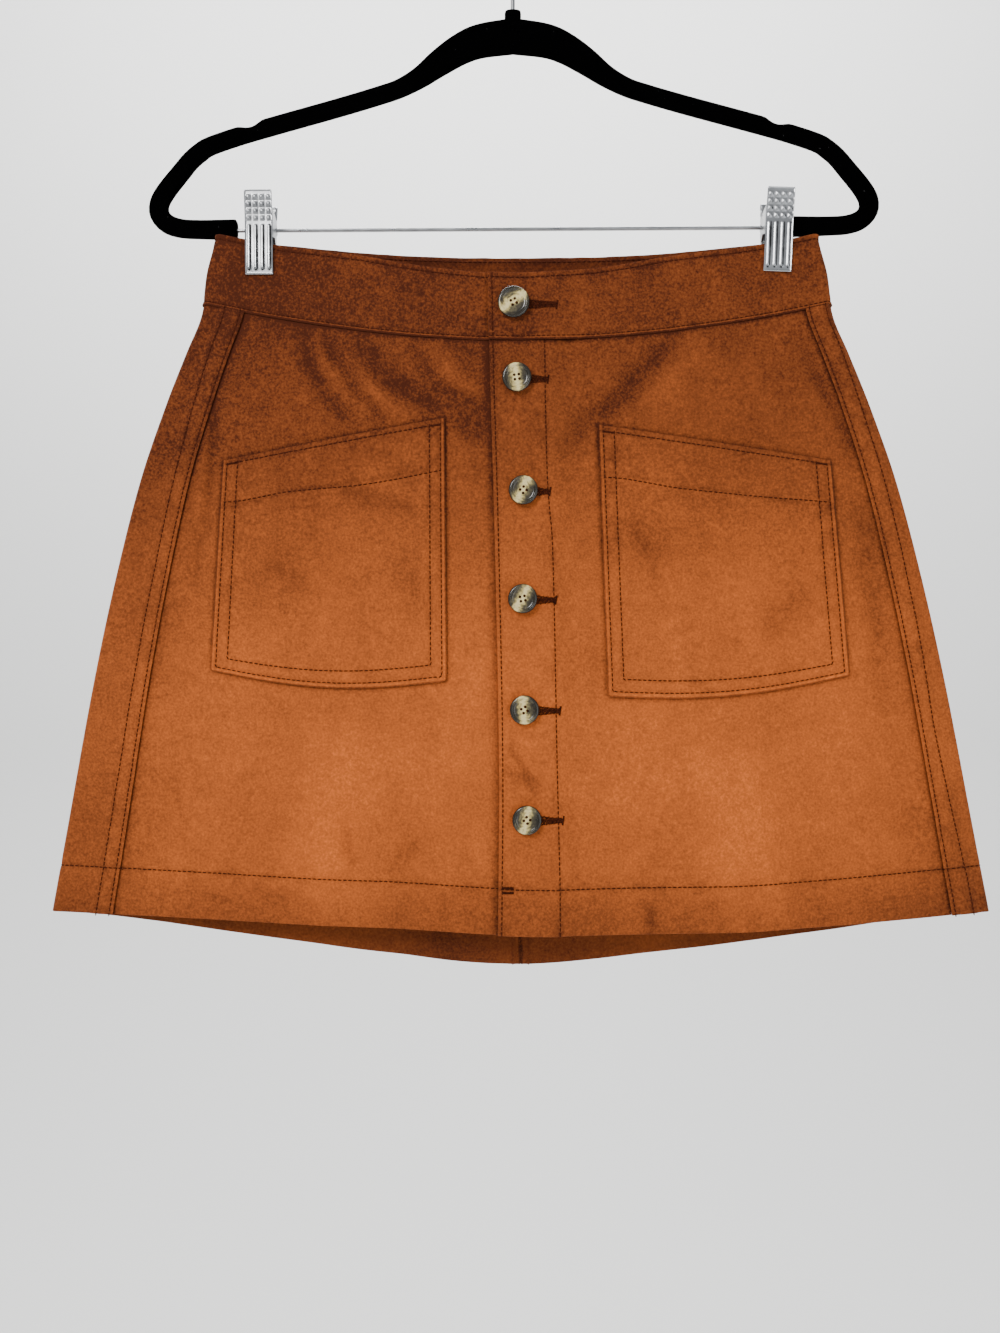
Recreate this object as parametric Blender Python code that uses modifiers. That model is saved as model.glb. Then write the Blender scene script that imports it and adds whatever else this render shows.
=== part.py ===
"""A-line mini skirt with a button front, hung by its waistband from a clip hanger.

Metres, +Z up, the front faces -Y and the viewer's right is +X. The origin is the inside
of the hook's crown, where a rail carries the hanger. Left and right are the viewer's.
"""

import math
from collections import namedtuple

import bmesh
import bpy
from mathutils import Matrix, Vector

# Cloth
PLY = 0.0010  # one layer of brushed cloth
DOUBLE = 0.0020  # cloth turned back on itself: hem, placket and button stand
BAND = 0.0022  # waistband, two layers pressed together
BAND_PROUD = 0.0004  # the waistband stands this far out from the panels
PATCH = 0.0012  # a patch pocket
GAP = 0.0003  # between neighbouring pieces

# How the skirt hangs
SKIRT_X = 0.0015  # its middle, beside the hook
SKIRT_Y = -0.0072  # its middle plane, in front of the hanger's
TOP_Z = -0.2250  # the waist's corners
SLOPE = 0.0058  # the waist is clipped a little lower on the right
HEM_SWING = 0.0023  # the front hem hangs lower on the right than on the left

# Half widths of the flat-hung tube, by the drop below the waist's corners
Flare = namedtuple("Flare", "drop half_width")
FLARE = [
    Flare(0.000, 0.1815),
    Flare(0.024, 0.1866),
    Flare(0.049, 0.1902),
    Flare(0.072, 0.1997),
    Flare(0.103, 0.2120),
    Flare(0.148, 0.2275),
    Flare(0.208, 0.2430),
    Flare(0.269, 0.2562),
    Flare(0.359, 0.2730),
    Flare(0.445, 0.2890),
]

# Drops of the edges and of the waistband's seam, by the share of the half width
Level = namedtuple("Level", "share front_top front_seam front_hem back_top back_seam back_hem")
LEVELS = [
    Level(0.00, 0.0266, 0.0662, 0.4195, 0.0112, 0.0545, 0.4422),
    Level(0.27, 0.0223, 0.0636, 0.4170, 0.0109, 0.0536, 0.4354),
    Level(0.50, 0.0147, 0.0588, 0.4152, 0.0094, 0.0516, 0.4266),
    Level(0.80, 0.0070, 0.0496, 0.4103, 0.0050, 0.0468, 0.4135),
    Level(1.00, 0.0000, 0.0423, 0.4065, 0.0000, 0.0423, 0.4065),
]

# Depth of the tube: side folds, and how far front and back swell between them
FOLD_RADIUS = 0.0034
FOLD_GROWTH = 0.0020  # for each metre of drop
SWELL_TOP = 0.0050
SWELL_HEM = 0.0080
CLIPPED_HALF = 0.141  # the swell ends here at the waist, inside the clips
CLIPPED_DROP = 0.015  # from the waist down to here
FREE_DROP = 0.120  # and reaches the side folds from here down
LENGTH = 0.4065  # at the side
BAND_DROP = 0.050  # mean drop of the seam under the waistband
CREASE_DROP = 0.062  # creases have their full depth from here down

# Seams and plackets
SEAM_LEFT = 0.866  # forward side seams, as shares of the half width
SEAM_RIGHT = 0.915
LAP = 0.033  # the button stand under the placket
FACING = 0.035  # cloth turned back behind the placket
LAP_FADE = 0.016  # where the placket's panel comes down again
BAND_LAP_FADE = 0.032  # the stiffer waistband takes longer
HEM_TURN = 0.028
STEP = 0.0006  # half the width of a step in thickness
STAND_FROM = -0.0026  # from the placket's edge to where the stand's fold begins
PLACKET_TO = FACING + LAP_FADE  # and to where the panel beyond the placket begins
CREASED = 0.26  # share of a panel's height that the creases under the waistband take
Edge = namedtuple("Edge", "drop x")
PLACKET_EDGE = [Edge(0.026, -0.0175), Edge(0.188, -0.0144), Edge(0.318, -0.0127), Edge(0.421, -0.0139)]
BUTTON_LINE = 0.0162  # from the placket's edge
STIFF_HALF = 0.010  # no crease this near the buttons' line
FREE_HALF = 0.024  # full creases this far from it
POCKET_STIFF = 0.001  # the same, outside a pocket
POCKET_FREE = 0.010

# Largest folds: troughs (depth below zero) and ridges between two ends
Fold = namedtuple("Fold", "face x0 drop0 x1 drop1 half_width height")
FOLDS = [
    Fold("front", -0.122, 0.060, -0.018, 0.132, 0.0085, -0.0022),
    Fold("front", -0.090, 0.064, -0.018, 0.108, 0.0070, 0.0018),
    Fold("front", -0.058, 0.068, -0.018, 0.104, 0.0060, -0.0024),
    Fold("front", 0.104, 0.064, 0.040, 0.130, 0.0110, -0.0022),
    Fold("front", 0.136, 0.062, 0.070, 0.124, 0.0110, 0.0016),
    Fold("front", -0.192, 0.125, -0.197, 0.215, 0.0050, -0.0018),
    Fold("front", -0.214, 0.310, -0.198, 0.385, 0.0060, -0.0014),
    Fold("front", 0.203, 0.130, 0.218, 0.290, 0.0080, -0.0016),
    Fold("front", -0.105, 0.290, -0.120, 0.440, 0.0240, 0.0014),
    Fold("front", 0.120, 0.300, 0.135, 0.440, 0.0260, 0.0018),
    Fold("back", -0.060, 0.070, -0.150, 0.160, 0.0110, -0.0022),
    Fold("back", 0.075, 0.066, 0.165, 0.150, 0.0120, -0.0020),
    Fold("back", -0.110, 0.210, -0.135, 0.460, 0.0260, 0.0018),
    Fold("back", -0.035, 0.250, -0.040, 0.480, 0.0220, -0.0026),
    Fold("back", 0.070, 0.190, 0.085, 0.470, 0.0270, 0.0028),
    Fold("back", 0.170, 0.230, 0.190, 0.450, 0.0220, -0.0024),
]

# Patch pockets: corners, and how far the lower edge bows down
Corner = namedtuple("Corner", "x drop")
Patch = namedtuple("Patch", "name top_left top_right bottom_left bottom_right bow")
PATCHES = [
    Patch("pocket_left", Corner(-0.1766, 0.1369), Corner(-0.0434, 0.1122),
          Corner(-0.1843, 0.2624), Corner(-0.0430, 0.2689), 0.0072),
    Patch("pocket_right", Corner(0.0474, 0.1164), Corner(0.1870, 0.1369),
          Corner(0.0522, 0.2781), Corner(0.1972, 0.2654), 0.0060),
]
MOUTH = 0.0014  # the mouth stands open this far at its middle
MOUTH_SHARE = 0.35  # and closes this far down the pocket

# Buttons: drop, how far off their line they are sewn, width and turn of the four holes
Button = namedtuple("Button", "drop aside width turn")
BUTTONS = [
    Button(0.0450, -0.0011, 0.0188, 25),
    Button(0.0893, -0.0002, 0.0174, 8),
    Button(0.1559, 0.0016, 0.0174, 40),
    Button(0.2201, -0.0004, 0.0174, 12),
    Button(0.2856, -0.0007, 0.0174, 30),
    Button(0.3504, 0.0004, 0.0174, 52),
]
BUTTON_THICK = 0.0036
BUTTON_RIM = 0.0022
BUTTON_DISH = 0.0009
BUTTON_SLOPE = 0.0012  # from the rim down into the dish
BUTTON_ROUND = 0.0008  # the rim's outer edge
BUTTON_FOOT = 0.62  # the back's radius, as a share of the front's
BUTTON_SIDES = 20
HOLE_RADIUS = 0.0008
HOLE_OUT = 0.0019  # from the button's middle
HOLE_SIDES = 8

# Hanger body: middle line of one half from the stub to the neck
Station = namedtuple("Station", "x z width")
BODY = [
    Station(0.1700, -0.2178, 0.0120),
    Station(0.1908, -0.2176, 0.0110),
    Station(0.2030, -0.2168, 0.0110),
    Station(0.2112, -0.2139, 0.0114),
    Station(0.2158, -0.2085, 0.0118),
    Station(0.2160, -0.2018, 0.0116),
    Station(0.2118, -0.1940, 0.0113),
    Station(0.2029, -0.1829, 0.0110),
    Station(0.1968, -0.1756, 0.0108),
    Station(0.1907, -0.1704, 0.0108),
    Station(0.1846, -0.1667, 0.0105),
    Station(0.1663, -0.1605, 0.0104),
    Station(0.1420, -0.1536, 0.0104),
    Station(0.1054, -0.1435, 0.0104),
    Station(0.0810, -0.1363, 0.0104),
    Station(0.0688, -0.1321, 0.0106),
    Station(0.0566, -0.1254, 0.0124),
    Station(0.0444, -0.1164, 0.0158),
    Station(0.0322, -0.1086, 0.0182),
    Station(0.0200, -0.1037, 0.0201),
    Station(0.0000, -0.1008, 0.0213),
]
BODY_THICK = 0.0060
BODY_ROUND = 0.0014
BODY_SPACING = 0.0074  # between the outline's points
NOTCH_X = 0.1590  # dips in the arms' upper edges
NOTCH_HALF = 0.0085
NOTCH_DEPTH = 0.0026
ARM_FOOT = -0.200  # the arms are above this, the bends to the bar below it
NUB_HALF = 0.0050
NUB_TOP = -0.0855
NUB_ROUND = 0.0012
SOCKET_DEPTH = 0.010
SOCKET_FLOOR = 0.001  # left between a wire's end and the bottom of its socket

# Bar, hook and clips
BAR_Z = -0.2184
BAR_RADIUS = 0.0012
WIRE_RADIUS = 0.0013
ROD_SIDES = 12
HOOK_INSIDE = 0.0190
HOOK_START = -48  # degrees on the hook's circle
HOOK_END = 196
HOOK_STEPS = 22
HOOK_TIP = (-0.0022, -0.0042)  # turned out, from the circle's end
STEM_SPACING = 0.0050
HOOK_STEM = [(0.0, 0.0), (0.0, 0.0140), (0.0002, 0.0250), (0.0024, 0.0360), (0.0066, 0.0455)]
Clip = namedtuple("Clip", "name x tilt")
CLIPS = [Clip("clip_left", -0.1529, 0.0), Clip("clip_right", 0.1586, 2.6)]
JAW_METAL = 0.0008
FRONT_HALF = 0.0083  # half widths of the jaws
BACK_HALF = 0.0071
JAW_HOLE = 0.0019
HOLE_LENGTH = 0.04  # of the cutter through both jaws' ears
# Jaws from top to lip: height over the bar, plate's depth and ear's reach
Jaw = namedtuple("Jaw", "height y ear")
FRONT_JAW = [
    Jaw(0.0186, -0.0148, 0.0007),
    Jaw(0.0110, -0.0139, 0.0007),
    Jaw(0.0070, -0.0133, 0.0080),
    Jaw(0.0030, -0.0129, 0.0155),
    Jaw(-0.0030, -0.0127, 0.0155),
    Jaw(-0.0068, -0.0126, 0.0080),
    Jaw(-0.0092, -0.0126, 0.0007),
    Jaw(-0.0235, -0.0127, 0.0007),
    Jaw(-0.0310, -0.0121, 0.0007),
]
BACK_JAW = [
    Jaw(0.0182, 0.0088, 0.0007),
    Jaw(0.0110, 0.0072, 0.0020),
    Jaw(0.0060, 0.0060, 0.0060),
    Jaw(0.0030, 0.0056, 0.0085),
    Jaw(-0.0030, 0.0050, 0.0080),
    Jaw(-0.0068, 0.0040, 0.0040),
    Jaw(-0.0092, 0.0026, 0.0007),
    Jaw(-0.0200, -0.0012, 0.0007),
    Jaw(-0.0300, -0.0021, 0.0007),
]
SPRING_RADIUS = 0.0030
SPRING_HALF = 0.0059
SPRING_SIDES = 14
SMALL = 0.00001  # distance within which points are one


# ---------------------------------------------------------------- reading the tables


def along(table, key, at, column):
    """One column of a table, on a smooth curve that starts level and passes its rows."""
    keys = [getattr(row, key) for row in table]
    values = [getattr(row, column) for row in table]
    at = min(max(at, keys[0]), keys[-1])
    last = len(keys) - 1
    i = max(k for k in range(last) if keys[k] <= at)

    def slope(k):
        a, b = k - 1, min(k + 1, last)
        return (values[b] - values[a]) / (keys[b] - keys[a]) if k else 0.0

    span = keys[i + 1] - keys[i]
    t = (at - keys[i]) / span
    return (
        values[i] * (2 * t**3 - 3 * t**2 + 1)
        + values[i + 1] * (3 * t**2 - 2 * t**3)
        + span * slope(i) * (t**3 - 2 * t**2 + t)
        + span * slope(i + 1) * (t**3 - t**2)
    )


def ease(start, end, at):
    """A smooth step from 0 at start to 1 at end."""
    t = min(max((at - start) / (end - start), 0.0), 1.0)
    return t * t * (3 - 2 * t)


def mix(a, b, t):
    return a + (b - a) * t


# ---------------------------------------------------------------- the skirt's surface


def half_width(drop):
    return along(FLARE, "drop", drop, "half_width")


def fold_radius(drop):
    return FOLD_RADIUS + FOLD_GROWTH * max(drop, 0.0)


def placket_x(drop):
    return along(PLACKET_EDGE, "drop", drop, "x")


def level(line, x, drop):
    """Drop of an edge or seam where it passes x."""
    share = x / half_width(drop)
    value = along(LEVELS, "share", abs(share), line)
    if line == "front_hem":
        value += HEM_SWING * math.sin(math.pi * share)
    return value


def creases(face, x, drop):
    """Sum of the folds that pass near a point."""
    total = 0.0
    for f in FOLDS:
        if f.face != face:
            continue
        run = Vector((f.x1 - f.x0, f.drop1 - f.drop0))
        off = Vector((x - f.x0, drop - f.drop0))
        t = off.dot(run) / run.length_squared
        if not 0 < t < 1:
            continue
        across = abs(off.cross(run)) / run.length / f.half_width
        total += f.height * math.exp(-across * across) * math.sin(math.pi * t) ** 0.7
    return total


def calm(x, drop):
    """0 where the button stand or a pocket stiffens the front, 1 where it creases freely."""
    free = ease(STIFF_HALF, FREE_HALF, abs(x - placket_x(drop) - BUTTON_LINE))
    for patch in PATCHES:
        left, right = patch.bottom_left.x, patch.bottom_right.x
        over = (patch.top_left.drop + patch.top_right.drop) / 2
        slant = (patch.top_right.drop - patch.top_left.drop) / (patch.top_right.x - patch.top_left.x)
        over += slant * (x - (left + right) / 2)
        under = patch.bottom_left.drop + patch.bow
        outside = max(left - x, x - right, over - drop, drop - under)
        free = min(free, ease(POCKET_STIFF, POCKET_FREE, outside))
    return free


def depth(face, x, drop):
    """Distance from the skirt's middle plane to the cloth's outer face."""
    reach = half_width(drop) - fold_radius(drop)
    reach = mix(CLIPPED_HALF, reach, ease(CLIPPED_DROP, FREE_DROP, drop))
    u = min(abs(x) / reach, 1.0)
    swell = mix(SWELL_TOP, SWELL_HEM, min(drop / LENGTH, 1.0)) * (1 - u * u) ** 1.5
    free = calm(x, drop) if face == "front" else 1.0
    return fold_radius(drop) + swell + creases(face, x, drop) * free * ease(BAND_DROP, CREASE_DROP, drop)


def hang(x, y, drop):
    return Vector((SKIRT_X + x, SKIRT_Y + y, TOP_Z - drop - SLOPE * x))


def front_point(x, drop, lift):
    return hang(x, -depth("front", x, drop) - lift, drop)


def place_x(station, drop):
    """x of a station on the tube at some drop.

    A station is a stretch of the tube, its side and how far along the stretch it lies: a
    share of its width, or metres from the placket's edge in the stretch "placket".
    """
    part, side, u = station
    half, radius = half_width(drop), fold_radius(drop)
    flat = half - radius
    seam = half * (SEAM_RIGHT if side > 0 else SEAM_LEFT)
    if part == "placket":
        return placket_x(drop) + u
    if part == "front_left":
        return mix(-seam + GAP / 2, placket_x(drop) + STAND_FROM, u)
    if part == "front_right":
        return mix(placket_x(drop) + PLACKET_TO, seam - GAP / 2, u)
    if part == "strip":
        return side * mix(seam + GAP / 2, flat, u)
    if part == "back":
        return side * mix(flat, GAP / 2, u)
    return side * flat


def cloth_point(station, row, lines, lift, trim):
    """A point of a piece between its upper and lower line. trim shortens both ends."""
    part, side, u = station
    face = "back" if part == "back" else "front"
    drop = mix(0.0, LENGTH, row)
    for _ in range(6):  # x and drop depend on each other
        x = place_x(station, drop)
        top = level(f"{face}_{lines[0]}", x, drop) + trim[0]
        low = level(f"{face}_{lines[1]}", x, drop) - trim[1]
        drop = mix(top, low, row)
    raised = lift(x, drop) if face == "front" else lift(side * half_width(drop), drop)
    if part == "fold":
        radius, angle = fold_radius(drop), mix(-math.pi / 2, math.pi / 2, u)
        x += side * (radius + raised) * math.cos(angle)
        return hang(x, (radius + raised) * math.sin(angle), drop), drop, low
    if part == "back":
        return hang(x, depth("back", x, drop) + raised, drop), drop, low
    return hang(x, -depth("front", x, drop) - raised, drop), drop, low


# ---------------------------------------------------------------- building pieces


def clear_scene():
    for obj in list(bpy.data.objects):
        bpy.data.objects.remove(obj, do_unlink=True)


def collection(name):
    made = bpy.data.collections.new(name)
    bpy.context.scene.collection.children.link(made)
    return made


def material(name, colour, roughness, metallic):
    made = bpy.data.materials.new(name)
    made.use_nodes = True
    shader = made.node_tree.nodes["Principled BSDF"]
    shader.inputs["Base Color"].default_value = (*colour, 1.0)
    shader.inputs["Roughness"].default_value = roughness
    shader.inputs["Metallic"].default_value = metallic
    return made


def add(name, mesh, finish, group):
    obj = bpy.data.objects.new(name, mesh)
    mesh.materials.append(finish)
    group.objects.link(obj)
    return obj


def grid_mesh(name, columns, rows, place):
    """A grid mapped through place(column, row), the top row first."""
    bm = bmesh.new()
    bmesh.ops.create_grid(bm, x_segments=columns, y_segments=rows, size=1.0)
    weights = {}
    for vert in bm.verts:
        i = round((vert.co.x + 1) / 2 * columns)
        j = round((1 - vert.co.y) / 2 * rows)
        vert.co, weights[vert.index] = place(i, j)
    mesh = bpy.data.meshes.new(name)
    bm.to_mesh(mesh)
    bm.free()
    mesh.shade_smooth()
    return mesh, weights


def thicken(obj, thick, thin=None, weights=None):
    """Solidify towards the inside. Points with weight 0 get the thin wall."""
    wall = obj.modifiers.new("wall", "SOLIDIFY")
    wall.thickness = thick
    wall.offset = -1
    wall.use_rim = True
    if weights:
        layers = obj.vertex_groups.new(name="layers")
        for index, weight in weights.items():
            layers.add([index], weight, "REPLACE")
        wall.vertex_group = layers.name
        wall.thickness_vertex_group = thin / thick


def cloth(name, stations, rows, lines, finish, group, lift, trim, thick, thin=None, layers=None):
    """A wall of cloth over stations round the tube and rows down it."""

    def place(i, j):
        point, drop, low = cloth_point(stations[i], rows[j], lines, lift, trim)
        return point, layers(point.x - SKIRT_X, drop, low) if layers else 1.0

    mesh, weights = grid_mesh(name, len(stations) - 1, len(rows) - 1, place)
    obj = add(name, mesh, finish, group)
    thicken(obj, thick, thin, weights if layers else None)
    return obj


def steps(part, side, count, first=0):
    return [(part, side, k / count) for k in range(first, count + 1)]


def around(side, strip, fold, back):
    """Stations from the forward side seam round the fold to the middle of the back."""
    run = steps("strip", side, strip) + steps("fold", side, fold, 1) + steps("back", side, back, 1)
    return run if side > 0 else run[::-1]


# ---------------------------------------------------------------- panels


def hem_layers(x, drop, low):
    """1 in the hem's turn-up, where the cloth is double."""
    return 1.0 if drop > low - HEM_TURN else 0.0


def panel_rows(upper, lower):
    """Rows down a panel: above CREASED, below it, and a pair where the hem turns up."""
    turn = 1 - HEM_TURN / (LENGTH - BAND_DROP)
    step = STEP / LENGTH
    rows = [mix(0.0, CREASED, k / upper) for k in range(upper)]
    rows += [mix(CREASED, turn, k / lower) for k in range(lower)]
    return rows + [turn - step, turn + step, 1.0]


def no_lift(x, drop):
    return 0.0


def lap_lift(x, drop):
    """How far the placket side is lifted by the button stand under it."""
    end = placket_x(drop) + LAP + GAP
    return (DOUBLE + GAP) * (1 - ease(end, end + LAP_FADE, x))


def placket_layers(x, drop, low):
    folded = 1.0 if x < placket_x(drop) + FACING else 0.0
    return max(hem_layers(x, drop, low), folded)


def stand_layers(x, drop, low):
    folded = 1.0 if x > placket_x(drop) + STAND_FROM + STEP else 0.0
    return max(hem_layers(x, drop, low), folded)


def placket_stations(count):
    """From the placket's edge to the side seam, with a pair where the facing ends."""
    near = [0.0, FACING / 3, FACING * 2 / 3, FACING - STEP, FACING + STEP, FACING + LAP_FADE / 2]
    far = [("front_right", 1, k / count) for k in range(count + 1)]
    return [("placket", 1, u) for u in near] + far


def stand_stations(count):
    """From the side seam to the button stand's edge, with a pair where the stand begins."""
    near = [("front_left", -1, k / count) for k in range(count + 1)]
    return near + [("placket", -1, u) for u in (STAND_FROM + 2 * STEP, LAP / 2, LAP)]


def build_panels(finish, group):
    trim = (GAP / 2, 0.0)
    rows = panel_rows(upper=9, lower=10)
    cloth("front_left_of_placket", stand_stations(15), rows, ("seam", "hem"), finish, group,
          no_lift, trim, DOUBLE, PLY, stand_layers)
    cloth("front_right_of_placket", placket_stations(13), rows, ("seam", "hem"), finish, group,
          lap_lift, trim, DOUBLE, PLY, placket_layers)
    rows = panel_rows(upper=4, lower=8)
    for side, name in ((-1, "back_left"), (1, "back_right")):
        stations = around(side, strip=3, fold=6, back=14)
        cloth(name, stations, rows, ("seam", "hem"), finish, group, no_lift, trim, DOUBLE, PLY, hem_layers)


# ---------------------------------------------------------------- waistband


def band_lift(x, drop):
    return BAND_PROUD


def band_lap_lift(x, drop):
    end = placket_x(drop) + LAP + GAP
    return BAND_PROUD + (BAND + GAP) * (1 - ease(end, end + BAND_LAP_FADE, x))


def build_waistband(finish, group):
    rows = [k / 3 for k in range(4)]
    trim = (0.0, GAP / 2)
    cloth("waistband_front_left", stand_stations(15), rows, ("top", "seam"), finish, group,
          band_lift, trim, BAND)
    cloth("waistband_front_right", placket_stations(15), rows, ("top", "seam"), finish, group,
          band_lap_lift, trim, BAND)
    for side, name in ((-1, "waistband_back_left"), (1, "waistband_back_right")):
        stations = around(side, strip=2, fold=6, back=12)
        cloth(name, stations, rows, ("top", "seam"), finish, group, band_lift, trim, BAND)


# ---------------------------------------------------------------- patch pockets


def build_pocket(patch, finish, group):
    """A patch that follows the panel's points, moved out, its mouth a little open."""
    columns, rows = 12, 13
    outer = GAP + PATCH

    def place(i, j):
        s, t = i / columns, j / rows
        top_x, top_drop = (mix(a, b, s) for a, b in zip(patch.top_left, patch.top_right))
        low_x, low_drop = (mix(a, b, s) for a, b in zip(patch.bottom_left, patch.bottom_right))
        low_drop += patch.bow * math.sin(math.pi * s)
        x, drop = mix(top_x, low_x, t), mix(top_drop, low_drop, t)
        mouth = MOUTH * math.sin(math.pi * s) * (1 - ease(0.0, MOUTH_SHARE, t))
        return front_point(x, drop, outer + lap_lift(x, drop) * (x > 0) + mouth), 1.0

    mesh, _ = grid_mesh(patch.name, columns, rows, place)
    obj = add(patch.name, mesh, finish, group)
    thicken(obj, PATCH)


# ---------------------------------------------------------------- buttons


def button_mesh(width):
    """A turned button with a raised rim and a dished middle, its face towards +Z."""
    r, top = width / 2, BUTTON_THICK
    rim, dish = r - BUTTON_RIM, top - BUTTON_DISH
    profile = [
        (0.0, dish), (rim - BUTTON_SLOPE, dish), (rim, top), (r - BUTTON_ROUND, top),
        (r, top - BUTTON_ROUND), (r - BUTTON_ROUND, top / 2), (r * BUTTON_FOOT, 0.0), (0.0, 0.0),
    ]
    bm = bmesh.new()
    verts = [bm.verts.new((x, 0.0, z)) for x, z in profile]
    for a, b in zip(verts, verts[1:]):
        bm.edges.new((a, b))
    mesh = bpy.data.meshes.new("button_profile")
    bm.to_mesh(mesh)
    bm.free()
    return mesh


def hole_cutter(name, group):
    """Four round cutters through a button, joined in one mesh."""
    bm = bmesh.new()
    for k in range(4):
        angle = math.pi / 4 + k * math.pi / 2
        at = Matrix.Translation((HOLE_OUT * math.cos(angle), HOLE_OUT * math.sin(angle), BUTTON_THICK / 2))
        bmesh.ops.create_cone(bm, cap_ends=True, segments=HOLE_SIDES, radius1=HOLE_RADIUS,
                              radius2=HOLE_RADIUS, depth=BUTTON_THICK * 3, matrix=at)
    mesh = bpy.data.meshes.new(name)
    bm.to_mesh(mesh)
    bm.free()
    return cutter(name, mesh, group)


def cutter(name, mesh, group):
    obj = bpy.data.objects.new(name, mesh)
    group.objects.link(obj)
    obj.hide_render = True
    obj.display_type = "WIRE"
    return obj


def cut(obj, tool):
    hole = obj.modifiers.new("cut", "BOOLEAN")
    hole.operation = "DIFFERENCE"
    hole.solver = "EXACT"
    hole.object = tool


def build_buttons(finish, group, cutters):
    """Buttons down the placket, the first one on the waistband."""
    for number, row in enumerate(BUTTONS, 1):
        x = placket_x(row.drop) + BUTTON_LINE + row.aside
        under = band_lap_lift(x, row.drop) if number == 1 else lap_lift(x, row.drop)
        seat = front_point(x, row.drop, under + GAP * 2)
        obj = add(f"button_{number}", button_mesh(row.width), finish, group)
        turned = obj.modifiers.new("turned", "SCREW")
        turned.steps = turned.render_steps = BUTTON_SIDES
        turned.use_merge_vertices = True
        turned.merge_threshold = SMALL
        turned.use_smooth_shade = True
        tool = hole_cutter(f"button_{number}_holes", cutters)
        cut(obj, tool)
        pose = Matrix.Translation(seat) @ Matrix.Rotation(math.pi / 2, 4, "X")
        obj.matrix_world = tool.matrix_world = pose @ Matrix.Rotation(math.radians(row.turn), 4, "Z")


# ---------------------------------------------------------------- hanger


def smooth_route(points, spacing):
    """Points at about equal spacing on a smooth curve through the given ones."""
    ends = [2 * points[0] - points[1]] + points + [2 * points[-1] - points[-2]]
    route = []
    for p0, p1, p2, p3 in zip(ends, ends[1:], ends[2:], ends[3:]):
        count = max(1, round((p2 - p1).length / spacing))
        for k in range(count):
            t = k / count
            route.append(
                0.5 * (2 * p1 + (p2 - p0) * t + (2 * p0 - 5 * p1 + 4 * p2 - p3) * t**2
                       + (3 * p1 - p0 - 3 * p2 + p3) * t**3)
            )
    return route + [points[-1]]


def body_outline():
    """Right half of the hanger's outline, outer edge then inner edge, then its mirror."""
    line = smooth_route([Vector((s.x, s.z, s.width)) for s in BODY], BODY_SPACING)
    outer, inner = [], []
    for k, here in enumerate(line):
        run = (line[min(k + 1, len(line) - 1)] - line[max(k - 1, 0)]).xy
        side = Vector((run.y, -run.x)).normalized()
        if k in (0, len(line) - 1):
            side = Vector((0.0, round(side.y)))
        notch = min(abs(here.x - NOTCH_X) / NOTCH_HALF, 1.0) if here.y > ARM_FOOT else 1.0
        sunk = NOTCH_DEPTH * (1 - notch * notch) ** 2
        outer.append(here.xy + side * (here.z / 2 - sunk))
        inner.append(here.xy - side * here.z / 2)
    crest = outer[-1].y
    nub = [Vector((NUB_HALF, crest)), Vector((NUB_HALF - NUB_ROUND, NUB_TOP - NUB_ROUND)),
           Vector((NUB_HALF - 2 * NUB_ROUND, NUB_TOP))]
    half = inner[::-1] + [p for p in outer if p.x > NUB_HALF + NUB_ROUND] + nub
    mirrored = [Vector((-p.x, p.y)) for p in reversed(half) if abs(p.x) > SMALL]
    return half + mirrored


def curve_object(name, points, group, closed, **settings):
    curve = bpy.data.curves.new(name, "CURVE")
    for key, value in settings.items():
        setattr(curve, key, value)
    spline = curve.splines.new("POLY")
    spline.points.add(len(points) - 1)
    for target, point in zip(spline.points, points):
        target.co = (*point, 1.0)
    spline.use_cyclic_u = closed
    obj = bpy.data.objects.new(name, curve)
    group.objects.link(obj)
    return obj


def as_mesh(obj, finish, group):
    """The curve as a welded mesh object in its place, so that it can be cut."""
    bpy.context.view_layer.update()
    evaluated = obj.evaluated_get(bpy.context.evaluated_depsgraph_get())
    mesh = bpy.data.meshes.new_from_object(evaluated)
    bm = bmesh.new()
    bm.from_mesh(mesh)
    bmesh.ops.remove_doubles(bm, verts=bm.verts, dist=SMALL)
    bm.to_mesh(mesh)
    bm.free()
    name, matrix = obj.name, obj.matrix_world.copy()
    bpy.data.objects.remove(obj, do_unlink=True)
    made = add(name, mesh, finish, group)
    made.matrix_world = matrix
    return made


def rod_cutter(name, radius, length, centre, axis, group):
    bm = bmesh.new()
    turn = Matrix.Rotation(math.pi / 2, 4, "Y") if axis == "X" else Matrix.Identity(4)
    bmesh.ops.create_cone(bm, cap_ends=True, segments=ROD_SIDES, radius1=radius, radius2=radius,
                          depth=length, matrix=Matrix.Translation(centre) @ turn)
    mesh = bpy.data.meshes.new(name)
    bm.to_mesh(mesh)
    bm.free()
    return cutter(name, mesh, group)


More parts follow.
